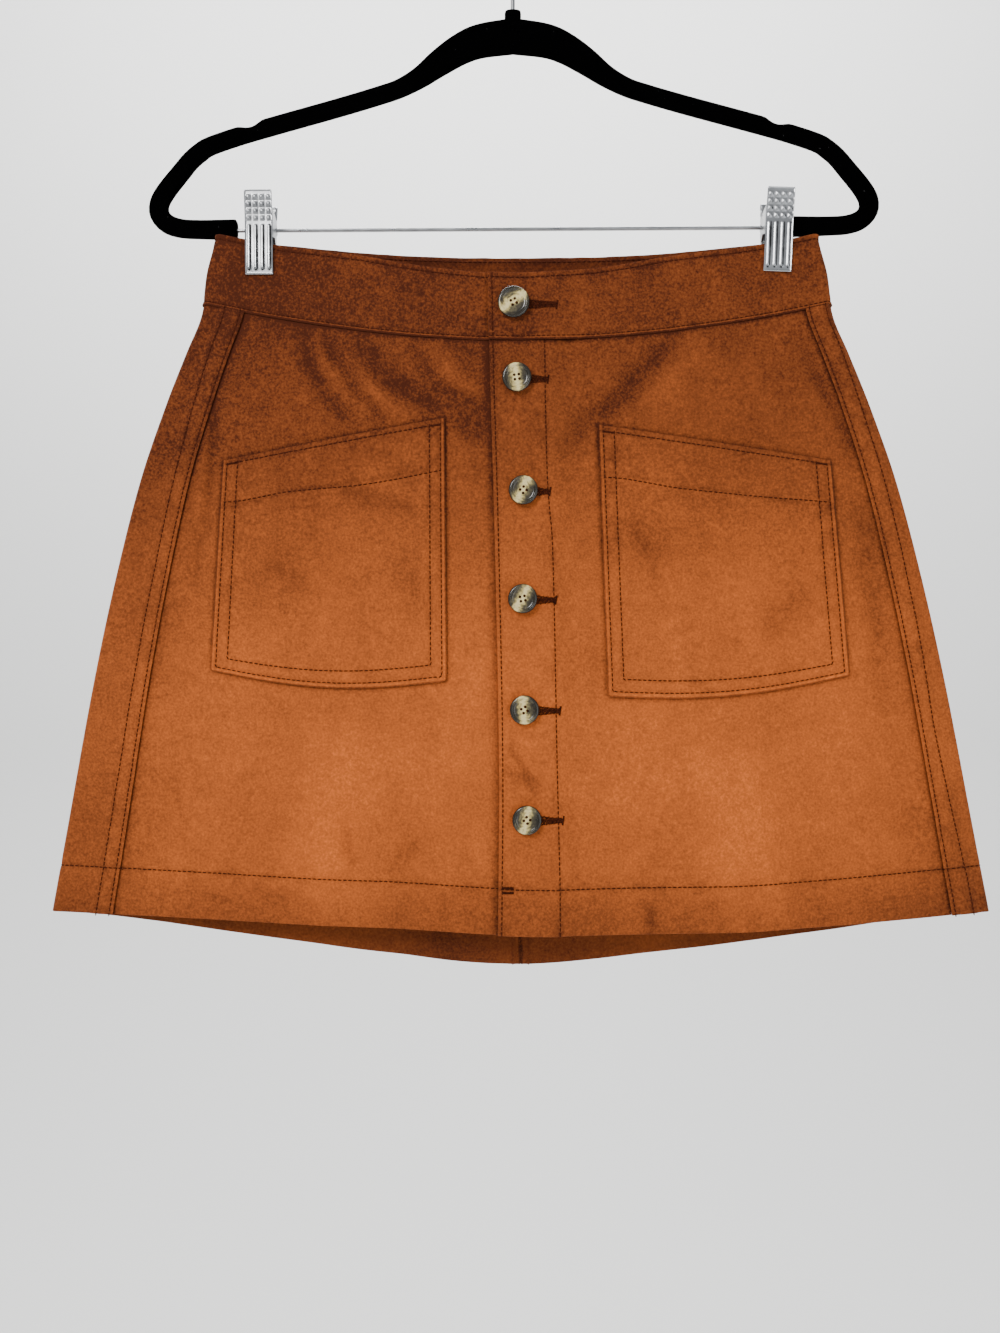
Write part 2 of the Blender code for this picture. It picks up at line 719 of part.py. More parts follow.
def build_hanger(finishes, group, cutters):
    outline = [(p.x, p.y, 0.0) for p in body_outline()]
    flat = curve_object("hanger_body", outline, group, True, dimensions="2D", fill_mode="BOTH",
                        extrude=BODY_THICK / 2 - BODY_ROUND, bevel_depth=BODY_ROUND, bevel_resolution=0,
                        offset=-BODY_ROUND)
    flat.rotation_euler = (math.pi / 2, 0.0, 0.0)
    body = as_mesh(flat, finishes["flock"], group)
    for side in (-1, 1):
        cut(body, rod_cutter(f"bar_socket_{side}", BAR_RADIUS + GAP, SOCKET_DEPTH * 2,
                             (side * BODY[0].x, 0.0, BAR_Z), "X", cutters))
    cut(body, rod_cutter("hook_socket", WIRE_RADIUS + GAP, SOCKET_DEPTH * 2,
                         (0.0, 0.0, NUB_TOP), "Z", cutters))

    bm = bmesh.new()
    turn = Matrix.Translation((0.0, 0.0, BAR_Z)) @ Matrix.Rotation(math.pi / 2, 4, "Y")
    bmesh.ops.create_cone(bm, cap_ends=True, segments=ROD_SIDES, radius1=BAR_RADIUS, radius2=BAR_RADIUS,
                          depth=2 * (BODY[0].x + SOCKET_DEPTH - SOCKET_FLOOR), matrix=turn)
    mesh = bpy.data.meshes.new("hanger_bar")
    bm.to_mesh(mesh)
    bm.free()
    add("hanger_bar", mesh, finishes["chrome"], group)


def build_hook(finish, group):
    """Wire from the nub up the stem, round over the rail and down to the tip."""
    foot = NUB_TOP - SOCKET_DEPTH + SOCKET_FLOOR
    stem = [Vector((x, foot + z, 0.0)) for x, z in HOOK_STEM]
    radius = HOOK_INSIDE + WIRE_RADIUS
    crown = []
    for k in range(HOOK_STEPS + 1):
        angle = math.radians(mix(HOOK_START, HOOK_END, k / HOOK_STEPS))
        crown.append(Vector((radius * math.cos(angle), radius * math.sin(angle) - HOOK_INSIDE, 0.0)))
    tip = crown[-1] + Vector((*HOOK_TIP, 0.0))
    route = smooth_route(stem + crown[:1], STEM_SPACING)[:-1] + crown + [tip]
    wire = curve_object("hanger_hook", [tuple(p) for p in route], group, False, dimensions="3D",
                        bevel_depth=WIRE_RADIUS, bevel_resolution=2, use_fill_caps=True)
    wire.rotation_euler = (math.pi / 2, 0.0, 0.0)
    as_mesh(wire, finish, group)


# ---------------------------------------------------------------- clips


def build_jaw(name, table, half, facing, finish, group):
    """A pressed plate with ears that carry the bar. facing is -1 in front, 1 behind."""

    def place(i, j):
        row = table[j]
        back = -facing * row.ear
        across = [(-half, back), (-half, 0.0), (half, 0.0), (half, back)][i]
        return Vector((-facing * across[0], row.y + across[1], row.height)), 1.0

    mesh, _ = grid_mesh(name, 3, len(table) - 1, place)
    mesh.shade_flat()
    obj = add(name, mesh, finish, group)
    thicken(obj, JAW_METAL)
    return obj


def build_clips(finishes, group, cutters):
    for clip in CLIPS:
        pose = Matrix.Translation((clip.x, 0.0, BAR_Z)) @ Matrix.Rotation(math.radians(clip.tilt), 4, "Y")
        front = build_jaw(f"{clip.name}_front_jaw", FRONT_JAW, FRONT_HALF, -1, finishes["chrome"], group)
        back = build_jaw(f"{clip.name}_back_jaw", BACK_JAW, BACK_HALF, 1, finishes["chrome"], group)
        hole = rod_cutter(f"{clip.name}_hole", JAW_HOLE, HOLE_LENGTH, (0.0, 0.0, 0.0), "X", cutters)
        for obj in (front, back):
            cut(obj, hole)
            obj.matrix_world = pose
        hole.matrix_world = pose
        build_spring(clip, finishes["steel"], group)


def build_spring(clip, finish, group):
    """The wound spring round the bar, as a sleeve turned from its outer profile."""
    inner = BAR_RADIUS + GAP
    profile = [(inner, SPRING_HALF), (SPRING_RADIUS, SPRING_HALF), (SPRING_RADIUS, -SPRING_HALF),
               (inner, -SPRING_HALF)]
    bm = bmesh.new()
    verts = [bm.verts.new((x, 0.0, z)) for x, z in profile]
    for a, b in zip(verts, verts[1:] + verts[:1]):
        bm.edges.new((a, b))
    name = f"{clip.name}_spring"
    mesh = bpy.data.meshes.new(name)
    bm.to_mesh(mesh)
    bm.free()
    obj = add(name, mesh, finish, group)
    turned = obj.modifiers.new("turned", "SCREW")
    turned.steps = turned.render_steps = SPRING_SIDES
    turned.use_merge_vertices = True
    turned.merge_threshold = SMALL
    obj.matrix_world = Matrix.Translation((clip.x, 0.0, BAR_Z)) @ Matrix.Rotation(math.pi / 2, 4, "Y")


# ---------------------------------------------------------------- the object


def main():
    clear_scene()
    group = collection("mini_skirt_on_clip_hanger")
    cutters = collection("cutters")
    cloth_finish = material("brushed_cloth", (0.30, 0.085, 0.026), 0.95, 0.0)
    finishes = {
        "flock": material("black_flock", (0.004, 0.004, 0.005), 1.0, 0.0),
        "chrome": material("chrome", (0.72, 0.73, 0.75), 0.16, 1.0),
        "steel": material("spring_steel", (0.30, 0.30, 0.31), 0.35, 1.0),
    }
    build_panels(cloth_finish, group)
    build_waistband(cloth_finish, group)
    for patch in PATCHES:
        build_pocket(patch, cloth_finish, group)
    build_buttons(material("horn_button", (0.42, 0.34, 0.20), 0.25, 0.0), group, cutters)
    build_hanger(finishes, group, cutters)
    build_hook(finishes["chrome"], group)
    build_clips(finishes, group, cutters)


main()
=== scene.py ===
"""A rust brushed-suede mini skirt, buttoned down the front, on a black flocked clip hanger."""

import math
from functools import cache

import bmesh
import bpy
import numpy as np
from mathutils import Matrix, Vector


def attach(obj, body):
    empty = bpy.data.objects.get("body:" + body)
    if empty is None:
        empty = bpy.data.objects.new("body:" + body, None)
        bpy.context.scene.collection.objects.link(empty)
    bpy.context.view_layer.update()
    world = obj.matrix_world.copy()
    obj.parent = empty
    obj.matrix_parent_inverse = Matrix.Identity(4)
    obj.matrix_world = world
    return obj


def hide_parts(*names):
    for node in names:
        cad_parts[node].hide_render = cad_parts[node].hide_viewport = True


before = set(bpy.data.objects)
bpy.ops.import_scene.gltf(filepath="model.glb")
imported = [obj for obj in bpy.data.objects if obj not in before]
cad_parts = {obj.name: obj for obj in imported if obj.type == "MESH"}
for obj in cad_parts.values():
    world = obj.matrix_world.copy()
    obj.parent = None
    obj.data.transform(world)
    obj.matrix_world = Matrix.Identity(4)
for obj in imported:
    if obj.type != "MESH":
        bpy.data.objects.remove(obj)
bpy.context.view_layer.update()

# ---------------------------------------------------------------- fronts and backs
# Four panels of faux suede, brushed to a short nap and cut on an A line. Each is sewn to the
# next down the side and the middle of the back, folded double along the placket, and turned
# up 28 mm at the hem. The side seams lie forward, on the front of the flat-hung skirt.

PLY = 0.0010
DOUBLE = 0.0020
GAP = 0.0003
SKIRT_X, SKIRT_Y, TOP_Z = 0.0015, -0.0072, -0.2250
SLOPE = 0.0058
LENGTH = 0.4065
FLARE = {
    "drop": (0.000, 0.024, 0.049, 0.072, 0.103, 0.148, 0.208, 0.269, 0.359, 0.445),
    "half": (0.1815, 0.1866, 0.1902, 0.1997, 0.2120, 0.2275, 0.2430, 0.2562, 0.2730, 0.2890),
}
LEVELS = {
    "share": (0.00, 0.27, 0.50, 0.80, 1.00),
    "front_top": (0.0266, 0.0223, 0.0147, 0.0070, 0.0000),
    "front_seam": (0.0662, 0.0636, 0.0588, 0.0496, 0.0423),
    "front_hem": (0.4195, 0.4170, 0.4152, 0.4103, 0.4065),
    "back_top": (0.0112, 0.0109, 0.0094, 0.0050, 0.0000),
    "back_seam": (0.0545, 0.0536, 0.0516, 0.0468, 0.0423),
    "back_hem": (0.4422, 0.4354, 0.4266, 0.4135, 0.4065),
}
HEM_SWING = 0.0023
HEM_TURN = 0.0275
FOLD_RADIUS, FOLD_GROWTH = 0.0034, 0.0020
SWELL_TOP, SWELL_HEM = 0.0050, 0.0080
CLIPPED_HALF, CLIPPED_DROP, FREE_DROP = 0.141, 0.015, 0.120
SEAM = {-1: 0.866, 1: 0.915}
SECOND_ROW = {-1: ((0.050, 0.155, 0.400), (0.926, 0.905, 0.900)),
              1: ((0.050, 0.113, 0.244, 0.299, 0.386), (0.977, 0.966, 0.955, 0.948, 0.960))}
PLACKET = ((0.026, 0.188, 0.318, 0.421), (-0.0175, -0.0144, -0.0127, -0.0139))
FACING_ROW = ((0.070, 0.151, 0.189, 0.317, 0.390), (0.0160, 0.0172, 0.0199, 0.0218, 0.0231))
LAP, FACING, LAP_FADE = 0.033, 0.035, 0.016
STAND_UNDER, STAND_DOUBLE = 0.0020, 0.0015
BUTTON_LINE = 0.0162
# how much painted shade the creases give, how far creases wander, and the size and seed of that wander across
# and down
CREASE_SHADE, CREASE_SWAY, CREASE_SWAYS = 0.34, 0.0022, ((0.019, 11), (0.017, 12))
# where creases fade beside the buttons, and the share of them that a pocket lets through
BUTTONS_CALM, POCKET_CALM, POCKET_CALM_FADE = (0.010, 0.024), 0.25, (-0.004, 0.012)
# height and size of the low waves all over, and the share of them on the waistband
BAND_WAVES, UNDER_BAND = 0.4, (0.050, 0.062)
WAVES, WAVE_SEED = ((0.00040, 0.034), (0.00016, 0.012)), {"front": 21, "back": 31}
PUCKER_HIGH, PUCKER_LONG, PUCKER_REACH = 0.00022, 0.0065, 0.006
EDGE_ROW = 0.0024
GROOVE, GROOVE_HALF = 0.00042, 0.0010
SEAM_LIFT, SEAM_LAP, SEAM_ROW, CENTRE_ROW = 0.0013, 0.0006, 0.0017, 0.0048
SEAM_EDGE, SEAM_FADE, STRIP_MIDDLE = 0.7, 0.005, 0.004
# height and half width of the dips along edges and seams
SEAM_DIP, EDGE_DIP, CENTRE_DIP = (-0.0003, 0.004), (-0.0004, 0.0008), (-0.0005, 0.0008)
# painted shadow beside edges sewn on top: its strength, its half width, and its half width beside the
# placket's edge
EDGE_SHADOW_STRENGTH, EDGE_SHADOW_HALF, LAP_SHADOW_HALF = 0.0010, 0.0014, 0.0034
EDGE_ROUND = 0.0004
FRONT_DROP, BACK_DROP = 0.325, 0.345
WEAVE, FOLD_CELLS = 0.0018, 12
# widths of the narrow strips of grid along hems, the placket and side seams
EDGE_CELL, PLACKET_CELL, LAP_CELL = 0.0012, 0.0008, 0.0002
CENTRE_LAP, LAP_SLOPE = 0.0006, 1.6

# half width, height (troughs are below zero), then points of the line: x and drop
CREASES = {
    "front": [
        (0.0055, -0.0017, (-0.129, 0.058), (-0.119, 0.093), (-0.106, 0.110), (-0.092, 0.121)),
        (0.0050, 0.0009, (-0.121, 0.058), (-0.112, 0.082), (-0.103, 0.096), (-0.088, 0.112)),
        (0.0040, -0.0015, (-0.115, 0.057), (-0.106, 0.081), (-0.095, 0.099), (-0.074, 0.118)),
        (0.0050, 0.0013, (-0.100, 0.075), (-0.092, 0.089), (-0.077, 0.106), (-0.060, 0.116)),
        (0.0075, -0.0022, (-0.101, 0.060), (-0.092, 0.075), (-0.076, 0.089), (-0.060, 0.099),
         (-0.043, 0.108), (-0.030, 0.119), (-0.017, 0.126)),
        (0.0060, 0.0012, (-0.050, 0.072), (-0.044, 0.084), (-0.033, 0.094), (-0.020, 0.099)),
        (0.0050, -0.0018, (-0.064, 0.064), (-0.054, 0.082), (-0.043, 0.095), (-0.028, 0.103),
         (-0.016, 0.110)),
        (0.0035, -0.0010, (-0.044, 0.064), (-0.038, 0.067), (-0.026, 0.072), (-0.015, 0.073)),
        (0.0090, -0.0015, (-0.019, 0.075), (-0.020, 0.100), (-0.019, 0.130)),
        (0.0035, -0.0015, (-0.180, 0.095), (-0.182, 0.120), (-0.184, 0.150), (-0.188, 0.190)),
        (0.0030, 0.0008, (-0.186, 0.110), (-0.187, 0.140), (-0.189, 0.170)),
        (0.0030, -0.0008, (-0.199, 0.174), (-0.191, 0.184), (-0.192, 0.215)),
        (0.0022, -0.0007, (-0.210, 0.322), (-0.203, 0.347), (-0.197, 0.370)),
        (0.0020, 0.0007, (-0.249, 0.356), (-0.238, 0.357)),
        (0.0020, 0.0008, (-0.250, 0.365), (-0.239, 0.367)),
        (0.0018, 0.0006, (-0.251, 0.373), (-0.240, 0.374)),
        (0.0032, -0.0015, (-0.106, 0.348), (-0.101, 0.367), (-0.096, 0.385)),
        (0.0030, -0.0012, (-0.080, 0.382), (-0.059, 0.364)),
        (0.0035, -0.0009, (-0.047, 0.392), (-0.043, 0.415)),
        (0.0240, 0.0014, (-0.105, 0.290), (-0.120, 0.440)),
        (0.0080, -0.0020, (0.100, 0.060), (0.079, 0.079), (0.058, 0.100), (0.042, 0.117),
         (0.026, 0.136)),
        (0.0090, 0.0010, (0.112, 0.062), (0.092, 0.084), (0.070, 0.106)),
        (0.0080, 0.0007, (0.078, 0.066), (0.060, 0.085), (0.040, 0.105)),
        (0.0040, -0.0012, (0.168, 0.060), (0.181, 0.088), (0.192, 0.112), (0.203, 0.145)),
        (0.0070, -0.0013, (0.203, 0.150), (0.212, 0.220), (0.218, 0.290)),
        (0.0260, 0.0018, (0.120, 0.300), (0.135, 0.440)),
    ],
    "back": [
        (0.0110, -0.0020, (-0.060, 0.070), (-0.105, 0.108), (-0.150, 0.160)),
        (0.0070, 0.0010, (-0.040, 0.064), (-0.078, 0.100), (-0.110, 0.140)),
        (0.0120, -0.0019, (0.075, 0.066), (0.118, 0.100), (0.165, 0.150)),
        (0.0060, -0.0010, (0.030, 0.062), (0.052, 0.090), (0.066, 0.128)),
        (0.0260, 0.0018, (-0.110, 0.210), (-0.135, 0.460)),
        (0.0220, -0.0026, (-0.035, 0.250), (-0.040, 0.480)),
        (0.0270, 0.0028, (0.070, 0.190), (0.085, 0.470)),
        (0.0220, -0.0022, (0.170, 0.230), (0.190, 0.450)),
    ],
}
PLACKET_CREASES = [
    (0.0026, -0.0009, (-0.007, 0.305), (0.005, 0.325), (0.015, 0.333)),
    (0.0024, -0.0007, (-0.009, 0.320), (0.002, 0.327), (0.011, 0.336)),
    (0.0030, -0.0003, (-0.006, 0.297), (0.010, 0.300), (0.020, 0.298)),
]
HEM_PUCKER = (0.0045, -0.0006, (0.077, 0.398), (0.077, 0.420))


def through(at, keys, values):
    """A smooth curve through a table's rows, level at the first one."""
    keys, values = np.array(keys), np.array(values)
    rows = np.arange(len(keys))
    before, after = np.maximum(rows - 1, 0), np.minimum(rows + 1, len(keys) - 1)
    slopes = (values[after] - values[before]) / (keys[after] - keys[before])
    slopes[0] = 0.0
    at = np.clip(at, keys[0], keys[-1])
    i = np.clip(np.searchsorted(keys, at, side="right") - 1, 0, len(keys) - 2)
    span = keys[i + 1] - keys[i]
    t = (at - keys[i]) / span
    return (values[i] * (2 * t**3 - 3 * t**2 + 1) + values[i + 1] * (3 * t**2 - 2 * t**3)
            + span * slopes[i] * (t**3 - 2 * t**2 + t) + span * slopes[i + 1] * (t**3 - t**2))


def ease(start, end, at):
    t = np.clip((at - start) / (end - start), 0.0, 1.0)
    return t * t * (3 - 2 * t)


def mix(a, b, t):
    return a + (b - a) * t


def ripple(x, y, size, seed):
    """Soft random waves about one size across, between -1 and 1."""
    cells = 128
    heights = np.random.default_rng(seed).uniform(-1, 1, (cells, cells))
    u, v = x / size + cells / 2, y / size + cells / 2
    i, j = np.floor(u).astype(int), np.floor(v).astype(int)
    s, t = ease(0, 1, u - i), ease(0, 1, v - j)
    near = mix(heights[i % cells, j % cells], heights[(i + 1) % cells, j % cells], s)
    far = mix(heights[i % cells, (j + 1) % cells], heights[(i + 1) % cells, (j + 1) % cells], s)
    return mix(near, far, t)


def half_width(drop):
    return through(drop, FLARE["drop"], FLARE["half"])


def fold_radius(drop):
    return FOLD_RADIUS + FOLD_GROWTH * np.maximum(drop, 0.0)


def placket_x(drop):
    return through(drop, *PLACKET)


def facing_x(drop):
    return through(drop, *FACING_ROW)


@cache
def seam_x(side):
    return lambda drop: side * SEAM[side] * half_width(drop)


@cache
def second_row_x(side):
    return lambda drop: side * through(drop, *SECOND_ROW[side]) * half_width(drop)


@cache
def flat_x(side):
    return lambda drop: side * (half_width(drop) - fold_radius(drop))


def centre_x(drop):
    return drop * 0.0


def level(line):
    """Drop of an edge or seam at x, from its front one to its back one as behind goes to 1."""

    def at(x, drop, behind):
        share = x / half_width(drop)
        front, back = (through(np.abs(share), LEVELS["share"], LEVELS[f"{face}_{line}"])
                       for face in ("front", "back"))
        if line == "hem":
            front = front + HEM_SWING * np.sin(np.pi * share)
        return mix(front, back, behind)

    return at


def ridge(away, height, half):
    """A rounded ridge along a line, or a trough where height is below zero."""
    return height * np.exp(-(away / half) ** 2)


def crease(x, drop, half, height, *points):
    """A soft trough or ridge along a line of points, deepest in its middle."""
    nearest, share, passed = np.full(np.shape(x), np.inf), np.zeros(np.shape(x)), 0.0
    for (x0, drop0), (x1, drop1) in zip(points, points[1:]):
        length = math.hypot(x1 - x0, drop1 - drop0)
        t = np.clip(((x - x0) * (x1 - x0) + (drop - drop0) * (drop1 - drop0)) / length**2, 0, 1)
        away = np.hypot(x - mix(x0, x1, t), drop - mix(drop0, drop1, t))
        share = np.where(away < nearest, passed + t * length, share)
        nearest = np.minimum(away, nearest)
        passed += length
    fade = np.clip(np.sin(np.pi * share / passed), 0, 1) ** 0.6
    return ridge(nearest, height, half) * fade


def creases(face, x, drop):
    across, down = (CREASE_SWAY * ripple(x, drop, *row) for row in CREASE_SWAYS)
    return sum(crease(x + across, drop + down, *row) for row in CREASES[face])


POCKETS = {
    "pocket_left": {"top_left": (-0.1766, 0.1369), "top_right": (-0.0434, 0.1122),
                    "bottom_left": (-0.1843, 0.2624), "bottom_right": (-0.0430, 0.2689), "bow": 0.0072,
                    "facing": ((0.0, 0.30, 0.65, 1.0), (0.1649, 0.1562, 0.1496, 0.1400))},
    "pocket_right": {"top_left": (0.0474, 0.1164), "top_right": (0.1870, 0.1369),
                     "bottom_left": (0.0522, 0.2781), "bottom_right": (0.1972, 0.2654), "bow": 0.0060,
                     "facing": ((0.0, 0.34, 1.0), (0.1447, 0.1522, 0.1654))},
}


def outside_pocket(pocket, x, drop):
    """Distance from a pocket's outline, above zero beside it and below zero within."""
    (x0, drop0), (x1, drop1) = pocket["top_left"], pocket["top_right"]
    (x2, drop2), (x3, drop3) = pocket["bottom_left"], pocket["bottom_right"]
    left = mix(x0, x2, (drop - drop0) / (drop2 - drop0))
    right = mix(x1, x3, (drop - drop1) / (drop3 - drop1))
    s = np.clip((x - left) / (right - left), 0, 1)
    over, under = mix(drop0, drop1, s), mix(drop2, drop3, s) + pocket["bow"] * np.sin(np.pi * s)
    return np.maximum.reduce(np.broadcast_arrays(left - x, x - right, over - drop, drop - under))


def calm(x, drop):
    """0 where the buttons or a pocket stiffen the front, 1 where it creases freely."""
    free = ease(*BUTTONS_CALM, np.abs(x - placket_x(drop) - BUTTON_LINE))
    for pocket in POCKETS.values():
        beside = ease(*POCKET_CALM_FADE, outside_pocket(pocket, x, drop))
        free = np.minimum(free, mix(POCKET_CALM, 1.0, beside))
    return free


def depth(face, x, drop):
    """Distance from the skirt's middle plane to the cloth's outer face."""
    reach = mix(CLIPPED_HALF, half_width(drop) - fold_radius(drop), ease(CLIPPED_DROP, FREE_DROP, drop))
    u = np.minimum(np.abs(x) / reach, 1.0)
    swell = mix(SWELL_TOP, SWELL_HEM, np.minimum(drop / LENGTH, 1.0)) * (1 - u * u) ** 1.5
    waves = sum(high * ripple(x, drop, long, WAVE_SEED[face] + k) for k, (high, long) in enumerate(WAVES))
    below_band = ease(*UNDER_BAND, drop)
    folds = creases(face, x, drop) * (calm(x, drop) if face == "front" else 1.0)
    return fold_radius(drop) + swell + folds * below_band + waves * mix(BAND_WAVES, 1.0, below_band)


def hang(x, y, drop):
    return np.stack(np.broadcast_arrays(SKIRT_X + x, SKIRT_Y + y, TOP_Z - drop - SLOPE * x), axis=-1)


def front_at(x, drop, lift):
    return hang(x, -depth("front", x, drop) - lift, drop)


def between(guides, counts):
    """Grid lines evenly between guides. A guide is a known line and a distance beside it."""
    lines = [(a, off_a, b, off_b, k / count)
             for (a, off_a), (b, off_b), count in zip(guides, guides[1:], counts)
             for k in range(count)]
    line, off = guides[-1]
    return lines + [(line, off, line, off, 0.0)]


def weave(columns, rows, behind):
    """x and drop where columns cross rows. Each depends on the other, so it takes a few rounds."""
    drop = np.tile(np.linspace(0, LENGTH, len(rows))[:, None], len(columns))
    for _ in range(8):
        x = np.stack([mix(a(drop[:, c]) + off_a, b(drop[:, c]) + off_b, t)
                      for c, (a, off_a, b, off_b, t) in enumerate(columns)], axis=1)
        drop = np.stack([mix(a(x[r], drop[r], behind) + off_a, b(x[r], drop[r], behind) + off_b, t)
                         for r, (a, off_a, b, off_b, t) in enumerate(rows)])
    return x, drop


def cloth_mesh(name, points, nap):
    """A grid of points as a mesh whose faces point away from the wearer."""
    high, wide = points.shape[:2]
    index = np.arange(high * wide).reshape(high, wide)
    faces = np.stack([index[:-1, :-1], index[1:, :-1], index[1:, 1:], index[:-1, 1:]], axis=-1)
    mesh = bpy.data.meshes.new(name)
    mesh.from_pydata(points.reshape(-1, 3).tolist(), [], faces.reshape(-1, 4).tolist())
    mesh.shade_smooth()
    # nap holds painted light and shade, kept in the shade attribute for the material's colour
    lie = mesh.attributes.new("shade", "FLOAT", "POINT")
    lie.data.foreach_set("value", np.clip(np.broadcast_to(nap, (high, wide)), -1, 1).ravel())
    return mesh


def linked(name, data):
    """A new object at the origin, in the scene."""
    made = bpy.data.objects.new(name, data)
    bpy.context.scene.collection.objects.link(made)
    return made


def cloth(name, points, nap, thick, double=None, round_edge=EDGE_ROUND):
    """A wall of cloth with softly rounded edges, of one ply where double is given and false."""
    obj = linked(name, cloth_mesh(name, points, nap))
    obj.data.materials.append(suede_finish)
    obj.data.materials.append(reverse_finish)
    wall = obj.modifiers.new("wall", "SOLIDIFY")
    wall.thickness, wall.offset, wall.use_rim = thick, -1, True
    wall.material_offset = 1
    if double is not None:
        layers = obj.vertex_groups.new(name="layers")
        layers.add(np.flatnonzero(~double).tolist(), 0.0, "REPLACE")
        layers.add(np.flatnonzero(double).tolist(), 1.0, "REPLACE")
        wall.vertex_group, wall.thickness_vertex_group = layers.name, PLY / thick
    edge = obj.modifiers.new("edge", "BEVEL")
    edge.limit_method, edge.angle_limit = "ANGLE", math.radians(55)
    edge.width, edge.segments = round_edge, 2
    return obj


def sew_on(piece, points, *replaced):
    """Measures the piece's grid of points laid flat, which nothing uses, attaches the piece to the root body
    and hides the solids it stands for.
    """
    flat = [float(np.linalg.norm(np.diff(points, axis=axis), axis=2).sum(axis=axis).max()) for axis in (1, 0)]
    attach(piece, "root")
    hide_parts(*replaced)


def line_at(lines, line, off):
    """Which grid line is the known line itself, that far beside it."""
    return next(k for k, (a, off_a, _, _, t) in enumerate(lines) if (a, off_a, t) == (line, off, 0.0))


THREAD_UP = 0.00012
stitched = {"fronts": [], "side_seams": [], "backs": [], "waistband": [], "pockets": []}


def groove(away):
    """The dent that a row of stitches pulls into the cloth."""
    return ridge(away, -GROOVE, GROOVE_HALF)


def groove_stops(*rows):
    """Places at rows of stitches and at both edges of their grooves."""
    return [row + off for row in rows for off in (-GROOVE_HALF, 0.0, GROOVE_HALF)]


def groove_guides(line, row, way=1):
    """The same places as guides beside a line, in the other order where way is -1."""
    return [(line, off) for off in groove_stops(row)[::way]]


def pucker(x, drop, away, seed):
    """Short waves beside a row of stitches."""
    return PUCKER_HIGH * ripple(x, drop, PUCKER_LONG, seed) * np.exp(-(away / PUCKER_REACH) ** 2)


def nodes(tree, kind, place=None, **inputs):
    """Adds a shader node. A value in inputs sets a socket and a socket is linked to it."""
    made = tree.nodes.new(kind)
    for key, value in (place or {}).items():
        setattr(made, key, value)
    for key, value in inputs.items():
        socket = made.inputs[int(key[1:])] if key[0] == "_" else made.inputs[key]
        if isinstance(value, bpy.types.NodeSocket):
            tree.links.new(value, socket)
        else:
            socket.default_value = value
    return made


def finish_of(name, **sockets):
    """A material, its node tree and its shader with the named sockets set."""
    made = bpy.data.materials.new(name)
    made.use_nodes = True
    shader = made.node_tree.nodes["Principled BSDF"]
    for key, value in sockets.items():
        shader.inputs[key.replace("_", " ")].default_value = value
    return made, made.node_tree, shader


def arithmetic(tree, operation, a, b=0.0, c=0.0):
    return nodes(tree, "ShaderNodeMath", {"operation": operation}, _0=a, _1=b, _2=c).outputs[0]


def speckle(tree, where, scale, detail=2.0, roughness=0.5, distortion=0.0):
    return nodes(tree, "ShaderNodeTexNoise", Vector=where, Scale=scale, Detail=detail,
                 Roughness=roughness, Distortion=distortion).outputs["Fac"]


def ramp(tree, factor, *stops):
    """A colour ramp with its (place, colour) stops."""
    made = nodes(tree, "ShaderNodeValToRGB", Fac=factor)
    for k, (place, colour) in enumerate(stops):
        stop = made.color_ramp.elements[k] if k < 2 else made.color_ramp.elements.new(place)
        stop.position, stop.color = place, (*colour, 1.0)
    return made.outputs["Color"]


def bump(tree, shader, height, strength, distance):
    made = nodes(tree, "ShaderNodeBump", Height=height, Strength=strength, Distance=distance)
    tree.links.new(made.outputs["Normal"], shader.inputs["Normal"])


SUEDE_DEEP, SUEDE_MID = (0.062, 0.0135, 0.0048), (0.250, 0.061, 0.0155)
SUEDE_BRIGHT, SUEDE_GLOW = (0.530, 0.122, 0.0230), (0.840, 0.200, 0.0360)
SUEDE_SHEEN = (1.0, 0.45, 0.20, 1.0)
# share of the way down the skirt, and the painted light and shade there: dark at the waist, brightest below
# the pockets, darker again at the hem
PAINTED_LIGHT_DOWN = ((0.00, 0.18), (1.00, 0.42), (0.12, 0.22), (0.27, 0.39), (0.40, 0.61), (0.55, 0.82),
            (0.72, 0.90), (0.86, 0.80), (0.93, 0.54))
# painted shade towards both sides, painted light to the right near the waist, and how much the stored painted
# shade counts
PAINTED_SIDE_SHADE, PAINTED_RIGHT_LIGHT, PAINTED_SHADE_WEIGHT = 0.34, 0.64, 0.42
# the skirt's length, half its width at the waist and what it gains by the hem, for laying out the painted
# light and shade
PAINTED_LIGHT_LENGTH, PAINTED_LIGHT_HALF, PAINTED_LIGHT_SPREAD = 0.442, 0.185, 0.104
# how fine, detailed and strong the uneven patches in the nap are
NAP_PATCHES = ((17.0, 3.0, 0.44), (70.0, 3.0, 0.26), (260.0, 2.0, 0.36), (700.0, 2.0, 0.95))
# tone of the outside, tone of the darker reverse, which is partly the reverse's own colour and partly painted
# shade, and the relief that gives full painted shade
OUTSIDE_TONE, REVERSE_TONE_AND_SHADE, PAINTED_SHADE_RELIEF = 0.72, 0.43, 0.0011


